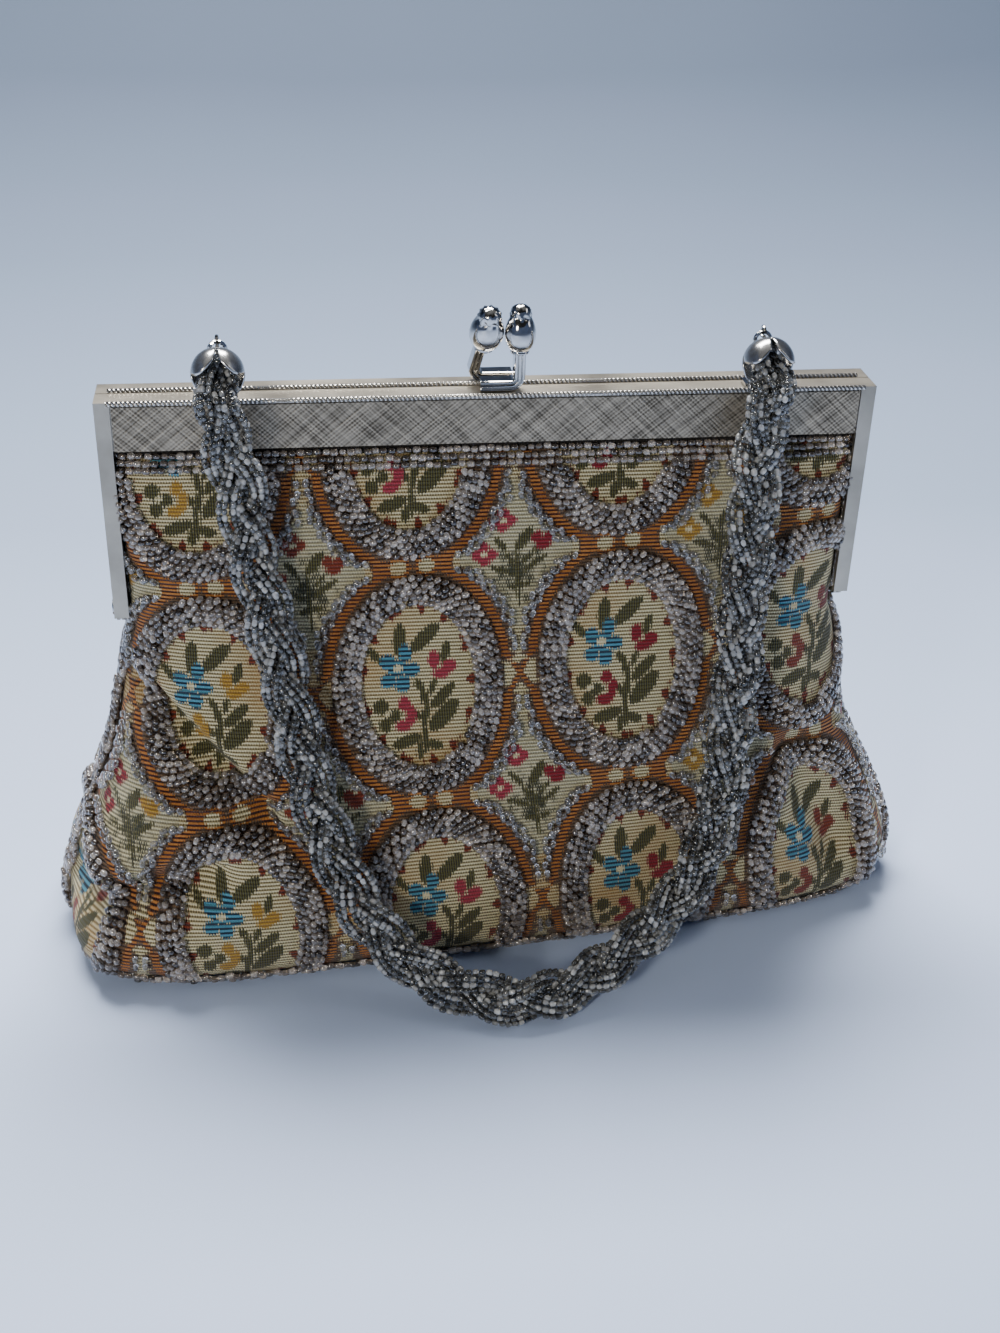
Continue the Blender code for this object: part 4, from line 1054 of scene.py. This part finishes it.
def diamond_strings(skin, strings, low, high):
    """The string of beads, wound double, that edges each diamond of the weave."""
    wave = np.sin(np.arange(STRING_SAMPLES) * STRING_WANDER_TURN) * STRING_WANDER
    for column, row in OVALS:
        for quarter in range(4):
            angle = QUARTER_TURN * quarter + np.linspace(*STRING_ENDS, STRING_SAMPLES)
            for way in (-1, 1):
                x = np.cos(angle) * (STRING_OVAL[0] + way * (STRING_APART + wave))
                y = np.sin(angle) * (STRING_OVAL[1] + way * (STRING_APART + wave))
                keep = np.abs(x) < PITCH_ACROSS / 2 - STRING_MARGIN
                keep &= np.abs(y) < PITCH_UP / 2 - STRING_MARGIN
                across, up = weave_place(column, row, x, y)
                keep &= on_cloth(skin, across, up, low, high, STRING_EDGE)
                if keep.sum() >= 4:
                    string_on(skin, strings, across[keep], up[keep], DIAMOND_LAY)


def level_row(skin, strings, up, end, samples, lay):
    """One row of beads across the cloth, short of the seams by its end."""
    half = skin.half_girth(up) - end
    string_on(skin, strings, np.linspace(-half, half, samples), np.full(samples, up), lay)


def seam_rows(skin, strings, low, high):
    """Two rows of beads up each side of the cloth."""
    for end in (-1, 1):
        for k in range(SEAM_ROWS):
            up = np.linspace(skin.up_at(low), skin.up_at(high) - SEAM_EDGE, SEAM_ROW_SAMPLES)
            across = end * (skin.half_girth(up) - SEAM_EDGE - ROW_PITCH * k)
            string_on(skin, strings, across, up, EDGE_LAY)


def frame_rows(skin, strings, low, high):
    """Three rows of beads along the frame's lower edge and the rows down its arms."""
    for k in range(TOP_ROWS):
        up = skin.up_at(high) - TOP_ROW_DROP - ROW_PITCH * k
        level_row(skin, strings, up, TOP_ROW_END, TOP_ROW_SAMPLES, EDGE_LAY)
    seam_rows(skin, strings, low, high)


def foot_rows(skin, strings):
    """Rows of beads round the foot of the cloth."""
    for k in range(FOOT_ROWS):
        up = FOOT_ROW_UP + ROW_PITCH * k
        level_row(skin, strings, up, FOOT_ROW_END, FOOT_ROW_SAMPLES, FOOT_LAY)


def smooth_route(points, steps):
    """A smooth line through the points of a route."""
    path = []
    for i in range(len(points) - 1):
        p0 = points[max(i - 1, 0)]
        p1, p2 = points[i], points[i + 1]
        p3 = points[min(i + 2, len(points) - 1)]
        for k in range(steps):
            t = k / steps
            path.append(0.5 * ((2 * p1) + (p2 - p0) * t + (2 * p0 - 5 * p1 + 4 * p2 - p3) * t * t
                               + (3 * p1 - p0 - 3 * p2 + p3) * t**3))
    return path + [points[-1]]


def under_lug(end, reach):
    """A place on a cap's axis, by its way down from the lug."""
    return LUG_AXIS + Vector((end * LUG_X, 0, 0)) + CAP_AXIS * reach


def handle_path():
    """The handle's middle line from one cap's mouth to the other's."""
    mouths = [under_lug(end, CAP_MOUTH) for end in (-1, 1)]
    leads = [mouth + CAP_AXIS * CORD_LEAD for mouth in mouths]
    route = [mouths[0], leads[0]] + [Vector(place) for place in CORD_ROUTE] + [leads[1], mouths[1]]
    return np.array(smooth_route(route, ROUTE_STEPS))


def handle_braid(material):
    """Three flat bundles of bead strings, plaited, whose ends run up into the caps."""
    path = handle_path()
    whole = np.concatenate(([under_lug(-1, SLEEVE_START)], path, [under_lug(1, SLEEVE_START)]))
    run = run_of(whole)
    length = run[-1]
    fine = np.arange(0, length, BRAID_STEP)
    centre = along(fine, run, whole)
    way = unit(np.gradient(centre, axis=0))
    out = square_to(way, BRAID_FACE)
    side = np.cross(way, out)
    from_end = np.minimum(fine, length - fine)
    spread = np.interp(from_end, *SPREAD)
    puff = np.interp(from_end, *PUFF)
    pieces = []
    for bundle in range(BUNDLES):
        strings = Strings(BRAID_SEED + bundle)
        phase = FULL_TURN * (fine / BRAID_PERIOD + bundle / BUNDLES)
        middle = (centre + side * (BRAID_SWING * spread * np.sin(phase))[:, None]
                  + out * (BRAID_DEPTH * spread * np.sin(2 * phase))[:, None])
        heading = unit(np.gradient(middle, axis=0))
        lean = square_to(heading, out)
        flat = np.cross(heading, lean)
        for k in range(BUNDLE_STRINGS):
            place = FULL_TURN * (k + 0.5) / BUNDLE_STRINGS
            sway = strings.random.normal(0, 1, (2, int(length / DRIFT_STEP) + 2))
            knots = np.linspace(0, length, sway.shape[1])
            drift = [np.interp(fine, knots, row) * DRIFT * puff for row in sway]
            wide = BUNDLE_WIDTH * math.cos(place) * (NARROWEST + (1 - NARROWEST) * spread) + drift[0]
            thick = BUNDLE_THICKNESS * math.sin(place) * np.minimum(puff, PUFF_LIMIT)
            thick = thick * (THINNEST + (1 - THINNEST) * spread) + drift[1]
            line = middle + flat * wide[:, None] + lean * thick[:, None]
            steps = run_of(line)
            want = np.arange(FIRST_BEAD + BEAD_STAGGER * k, steps[-1], STRUNG_BEAD[1] * STRUNG_SLACK)
            spots = along(want, steps, line)
            strings.add(spots, np.gradient(spots, axis=0), along(want, steps, lean), STRUNG_SHAKE,
                        STRUNG_TILT)
        pieces.append(strings.piece(f"handle_bundle_{bundle + 1}", STRUNG_BEAD, material))
    for piece in pieces:
        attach(piece, "handle")
    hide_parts("handle_cord")


def woven_side(skin, word, cloth, *nodes):
    """The cloth of one side, with its pattern."""
    name = word + "_cloth"
    data, across, up = sheet_on(skin, name, 0.0, PANEL_TOP + TUCK * TUCKED_SHARE, CLOTH_STEP, HEM)
    keep_motifs(data, across, up)
    piece = link(name, data, cloth)
    follow(piece, skin.side)
    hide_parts(*nodes)


def beadwork(skin, word, seed_step, rows_low, beads, clear):
    """The beads sewn on one side. The rows down the frame's arms end at rows_low, above the seam's rows."""
    kinds = (
        ("_ring_beads_low", 5, SEWN_BEAD, beads, ring_beads, (RING_FOOT, RING_SPLIT)),
        ("_ring_beads_high", 7, SEWN_BEAD, beads, ring_beads, (RING_SPLIT, BEADWORK_TOP)),
        ("_string_beads", 9, EDGE_BEAD, clear, diamond_strings, (STRING_FOOT, BEADWORK_TOP)),
        ("_foot_beads", 15, SEWN_BEAD, beads, foot_rows, ()),
        ("_edging_beads", 11, SEWN_BEAD, beads, frame_rows, (rows_low, PANEL_TOP)),
        ("_seam_beads", 13, SEWN_BEAD, beads, seam_rows, (STRING_FOOT, rows_low - SEAM_STOP)),
    )
    for name, seed, size, glass, sew, heights in kinds:
        strings = Strings(seed + seed_step)
        sew(skin, strings, *heights)
        piece = strings.piece(word + name, size, glass)
        follow(piece, skin.side)
        if sew is frame_rows:
            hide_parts(word + "_edging")


def satin_sheet(skin, name, low, high, step, thickness, satin, share=1.0):
    """A sheet of satin on a skin."""
    data = sheet_on(skin, name, low, high, step, share=share)[0]
    piece = link(name, data, satin)
    thicken(piece, thickness)
    return piece


def lining_pieces(satin):
    """Satin inside both sides, down to a floor, and the slip pocket, open at its top."""
    for side, inset, name, nodes in ((-1, FRONT_LINING_INSET, "front_satin", ("front_lining", "lining")),
                                     (1, REAR_LINING_INSET, "rear_satin", ("rear_lining_upper",))):
        skin = Skin(side, inset, LINING_FLOOR)
        piece = satin_sheet(skin, name, LINING_FLOOR, PANEL_TOP, LINING_STEP, LINING_WALL, satin)
        follow(piece, side)
        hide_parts(*nodes)
    pocket = satin_sheet(Skin(1, POCKET_INSET, POCKET_LOW), "satin_pocket", POCKET_LOW, POCKET_HIGH,
                         POCKET_STEP, POCKET_WALL, satin, POCKET_SHARE)
    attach(pocket, "front_half")
    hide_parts("slip_pocket")


def base_cloth(front, rear, cloth):
    """The bottom of the bag, between the feet of both sides."""
    shape, layer, grid = cloth_grid(*BASE_CELLS)
    column = (grid[:, 0] + 0.5) * SKIN_COLUMNS * (1 - 2 * BASE_EDGE_SHARE) + SKIN_COLUMNS * BASE_EDGE_SHARE
    low, high = (along(column, np.arange(SKIN_COLUMNS + 1), skin.rings[0]) for skin in (front, rear))
    spots = low + (grid[:, 1] + 0.5)[:, None] * (high - low)
    spots = spots * (BASE_SHRINK, BASE_SHRINK, 1) + (0, 0, BASE_LIFT)
    lay_cloth(shape, layer, spots, spots[:, 0], spots[:, 1] + BASE_UP)
    bmesh.ops.reverse_faces(shape, faces=shape.faces)
    data = mesh_from(shape, "base_cloth")
    keep_motifs(data, spots[:, 0], spots[:, 1] + ROW_UP * MM)
    piece = link("base_cloth", data, cloth)
    thicken(piece, BASE_WALL)
    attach(piece, "front_half")
    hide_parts("base_panel")


def knob(word, radius, place, tilt, side_tilt, material):
    """An acorn knob with a ribbed crown."""
    shape = bmesh.new()
    spun(shape, [(out * radius, up * KNOB_HEIGHT) for out, up in KNOB_PROFILE_SHARES], KNOB_STEPS)
    for vertex in shape.verts:
        share = vertex.co.z / KNOB_HEIGHT - CROWN_START_SHARE
        if share > 0:
            angle = math.atan2(vertex.co.y, vertex.co.x)
            swell = 1 + CROWN_SWELL * math.cos(CROWN_RIBS * (angle + CROWN_TWIST * share))
            vertex.co.x *= swell
            vertex.co.y *= swell
    turn = Matrix.Rotation(side_tilt, 4, 'Y') @ Matrix.Rotation(tilt, 4, 'X')
    bmesh.ops.transform(shape, matrix=Matrix.Translation(place) @ turn, verts=shape.verts)
    dressed(shape, word + "_clasp_acorn", material, word + "_clasp_knob", word + "_half")


def strap(word, start_x, post_x, middle_y, lean, top_lean, material):
    """A strap pressed with three ridges: along the frame's top, round the bend and up to the knob."""
    way = 1 if post_x > start_x else -1
    level = FRAME_TOP + GAP + STRAP_LIFT
    shape = bmesh.new()
    corners = [shape.verts.new((start_x, y * MM, level + up * MM)) for up, y in STRAP_SECTION]
    face = shape.faces.new(corners)
    turn_x = post_x - way * STRAP_BEND
    end = extruded(shape, [face] + face.edges[:] + face.verts[:], (turn_x - start_x, 0, 0))
    end = bmesh.ops.spin(shape, geom=end, axis=(0, -way, 0), cent=(turn_x, 0, level + STRAP_BEND),
                         angle=QUARTER_TURN, steps=STRAP_BEND_STEPS)["geom_last"]
    rise = FRAME_TOP + KNOB_RISE + STRAP_OVERLAP - level - STRAP_BEND
    extruded(shape, end, (top_lean, 0, rise))
    merge_down(shape)
    for vertex in shape.verts:
        vertex.co.y += middle_y - lean * max(vertex.co.z - level - LEAN_START, 0)
    made = dressed(shape, word + "_clasp_strap", material, word + "_clasp_post",
                   word + "_half", False)
    edge = made.modifiers.new("soft_edges", 'BEVEL')
    edge.width = STRAP_EASE
    edge.segments = 2
    edge.limit_method = 'ANGLE'


def clasp(material):
    """Two ridged straps and the two acorn knobs that they carry."""
    rear_x = FRONT_KNOB_X - FRONT_KNOB_RADIUS - REAR_KNOB_RADIUS - GAP / 2
    rear_post_x = rear_x - STRAP_BEND
    strap("front", FRONT_KNOB_X - STRAP_LENGTH, FRONT_KNOB_X, -HALF_MIDDLE, 0, 0, material)
    strap("rear", rear_post_x + STRAP_LENGTH, rear_post_x, HALF_MIDDLE, REAR_KNOB_REACH / KNOB_RISE,
          STRAP_BEND / 2, material)
    foot = FRAME_TOP + KNOB_RISE
    knob("front", FRONT_KNOB_RADIUS, (FRONT_KNOB_X, -HALF_MIDDLE, foot), 0, 0, material)
    seat = REAR_KNOB_SEAT * math.sin(REAR_KNOB_TILT)
    knob("rear", REAR_KNOB_RADIUS, (rear_x - GAP, HALF_MIDDLE - REAR_KNOB_REACH, foot + seat),
         REAR_KNOB_TILT, REAR_KNOB_SIDE_TILT, material)


def petal_cap(word, end, material):
    """A cup of four rounded petals over the strings' ends."""
    shape = bmesh.new()
    rows, outs, drops = zip(*PETAL_SHARES)
    for quarter in range(4):
        grid = bmesh.ops.create_grid(shape, x_segments=PETAL_CELLS[0], y_segments=PETAL_CELLS[1], size=0.5)
        for vertex in grid["verts"]:
            t = 2 * vertex.co.x
            s = (vertex.co.y + 0.5) * (1 - PETAL_ROUNDING * t * t)
            radius = np.interp(s, rows, outs) * CAP_RADIUS
            drop = np.interp(s, rows, drops) * PETAL_LENGTH
            angle = QUARTER_TURN * (quarter + 1) + t * math.radians(np.interp(s, *PETAL_HALF_ANGLES))
            vertex.co = (radius * math.cos(angle), radius * math.sin(angle), -CAP_START - drop)
    merge_down(shape, 0.00003)
    bmesh.ops.smooth_vert(shape, verts=shape.verts, factor=0.5, use_axis_x=True, use_axis_y=True,
                          use_axis_z=True)
    turn = Matrix.Rotation(-CAP_TILT, 4, 'X') @ Matrix.Rotation(QUARTER_TURN / 2, 4, 'Z')
    bmesh.ops.transform(shape, matrix=Matrix.Translation(under_lug(end, 0)) @ turn, verts=shape.verts)
    made = dressed(shape, word + "_petal_cap", material, word + "_bead_cap", "handle")
    thicken(made, CAP_WALL)


def rim_rods(material):
    """The bright cut rims along the top of both halves."""
    for word, y, z in ROD_PLACES:
        shape = bmesh.new()
        bmesh.ops.create_cone(shape, cap_ends=True, segments=ROD_SIDES, radius1=ROD_RADIUS,
                              radius2=ROD_RADIUS, depth=FRAME_WIDTH - ROD_SHORTER)
        place = Matrix.Translation((0, y, z)) @ Matrix.Rotation(QUARTER_TURN, 4, 'Y')
        bmesh.ops.transform(shape, matrix=place, verts=shape.verts)
        dressed(shape, word + "_rim_rod", material, None, word + "_half")


def dress_metal(satin, engraved, polished):
    """Finishes for the CAD pieces that still show."""
    kinds = {"frame": satin, "band": engraved}
    for name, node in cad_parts.items():
        if not node.hide_render:
            node.data.materials.clear()
            node.data.materials.append(kinds.get(name.split("_")[-1], polished))


def soft_stage():
    """Pale paper on the floor that rises all round, close behind the bag and far off in front of it."""
    shape = bmesh.new()
    profile = [(0, 0), (PAPER_FLOOR, 0)]
    for k in range(1, BEND_STEPS + 1):
        angle = QUARTER_TURN * k / BEND_STEPS
        profile.append((PAPER_FLOOR + PAPER_BEND * math.sin(angle), PAPER_BEND * (1 - math.cos(angle))))
    profile.append((PAPER_FLOOR + PAPER_BEND, PAPER_HEIGHT))
    spun(shape, profile, PAPER_STEPS, closed=False)
    bmesh.ops.translate(shape, verts=shape.verts, vec=(0, PAPER_BACK - PAPER_FLOOR, 0))
    if shape.faces[0].normal.z < 0:
        bmesh.ops.reverse_faces(shape, faces=shape.faces)
    made = Finish("backdrop_paper")
    # Painted light and shade: the paper's colour is lightest near the bag and darkens further back, standing
    # for the lamps' falloff
    near, back = PAPER_PAINTED_SHADE
    depth = made.axis("Y", made.place())
    far = made.node("MapRange", {"Value": depth, "From Min": near, "From Max": back}).outputs["Result"]
    far = made.add(far, made.grain(6, 3, 0.03))
    base = made.ramp(far, ((0.0, (190, 209, 244)), (0.22, (198, 216, 250)), (0.45, (150, 167, 194)),
                           (1.0, (90, 103, 123))))
    link("backdrop", mesh_from(shape, "backdrop"), made.set(Base_Color=base, Roughness=0.6))


def lights():
    """Three lamps in a pale room that is bright behind and above and dim in front."""
    for name, (place, aim, size, power, tint) in LAMPS.items():
        data = bpy.data.lights.new(name, 'AREA')
        data.shape = 'RECTANGLE'
        data.size, data.size_y = size
        data.energy = power
        data.color = tint
        lamp = bpy.data.objects.new(name, data)
        lamp.location = place
        lamp.rotation_euler = (Vector(aim) - Vector(place)).to_track_quat('-Z', 'Y').to_euler()
        bpy.context.scene.collection.objects.link(lamp)
    world = bpy.data.worlds.new("pale_room")
    room = Nodes(world, "Background")
    way = room.node("TexCoord").outputs["Generated"]
    lean = room.add(room.axis("Z", way), room.axis("Y", way))
    tone = room.ramp(lean, ((0.0, (82, 83, 85)), (0.22, (112, 111, 109)), (0.6, (206, 208, 212)),
                            (1.0, (246, 247, 250))))
    room.feed(room.end.inputs["Color"], tone)
    room.feed(room.end.inputs["Strength"], ROOM_LIGHT)
    bpy.context.scene.world = world


# Camera and handle first
track_camera()
handle_braid(bead_glass("strung_glass", ((0.0, (44, 44, 42)), (0.5, (126, 126, 122)), (1.0, (252, 252, 248))),
                        0.60))

# Cloth and beadwork
sewn_glass = bead_glass("sewn_glass", ((0.0, (76, 65, 56)), (0.5, (176, 162, 148)), (1.0, (252, 243, 232))),
                        0.70)
edge_glass = bead_glass("edge_glass", ((0.0, (196, 190, 182)), (1.0, (240, 236, 230))), 0.9)
weave = tapestry()
front_skin, rear_skin = Skin(-1), Skin(1)
woven_side(front_skin, "front", weave, "front_panel")
woven_side(rear_skin, "rear", weave, "rear_panel_lower", "rear_fold", "rear_panel_upper")
beadwork(front_skin, "front", 0, HINGE_HEIGHT, sewn_glass, edge_glass)
beadwork(rear_skin, "rear", 1, FOLD_END, sewn_glass, edge_glass)
base_cloth(front_skin, rear_skin, weave)
lining_pieces(plain_cloth("satin_lining", (172, 160, 128), (206, 194, 160), 0.42))

# Metal
satin_plate = plated_metal("satin_nickel", (60, 4), ((138, 131, 118), (180, 172, 157)), 0.9, (0.26, 0.40),
                           (1800, 0.00004))
bright_plate = plated_metal("polished_nickel", (300, 3), ((178, 176, 172), (214, 212, 208)), 1.0,
                            (0.05, 0.14))
pale_plate = plated_metal("pale_silver", (180, 3), ((166, 165, 163), (210, 209, 206)), 0.95, (0.15, 0.25),
                          (900, 0.00003))
clasp(bright_plate)
petal_cap("left", -1, pale_plate)
petal_cap("right", 1, pale_plate)
rim_rods(knurled_metal())
dress_metal(satin_plate, engraved_metal(), bright_plate)
soft_stage()
lights()
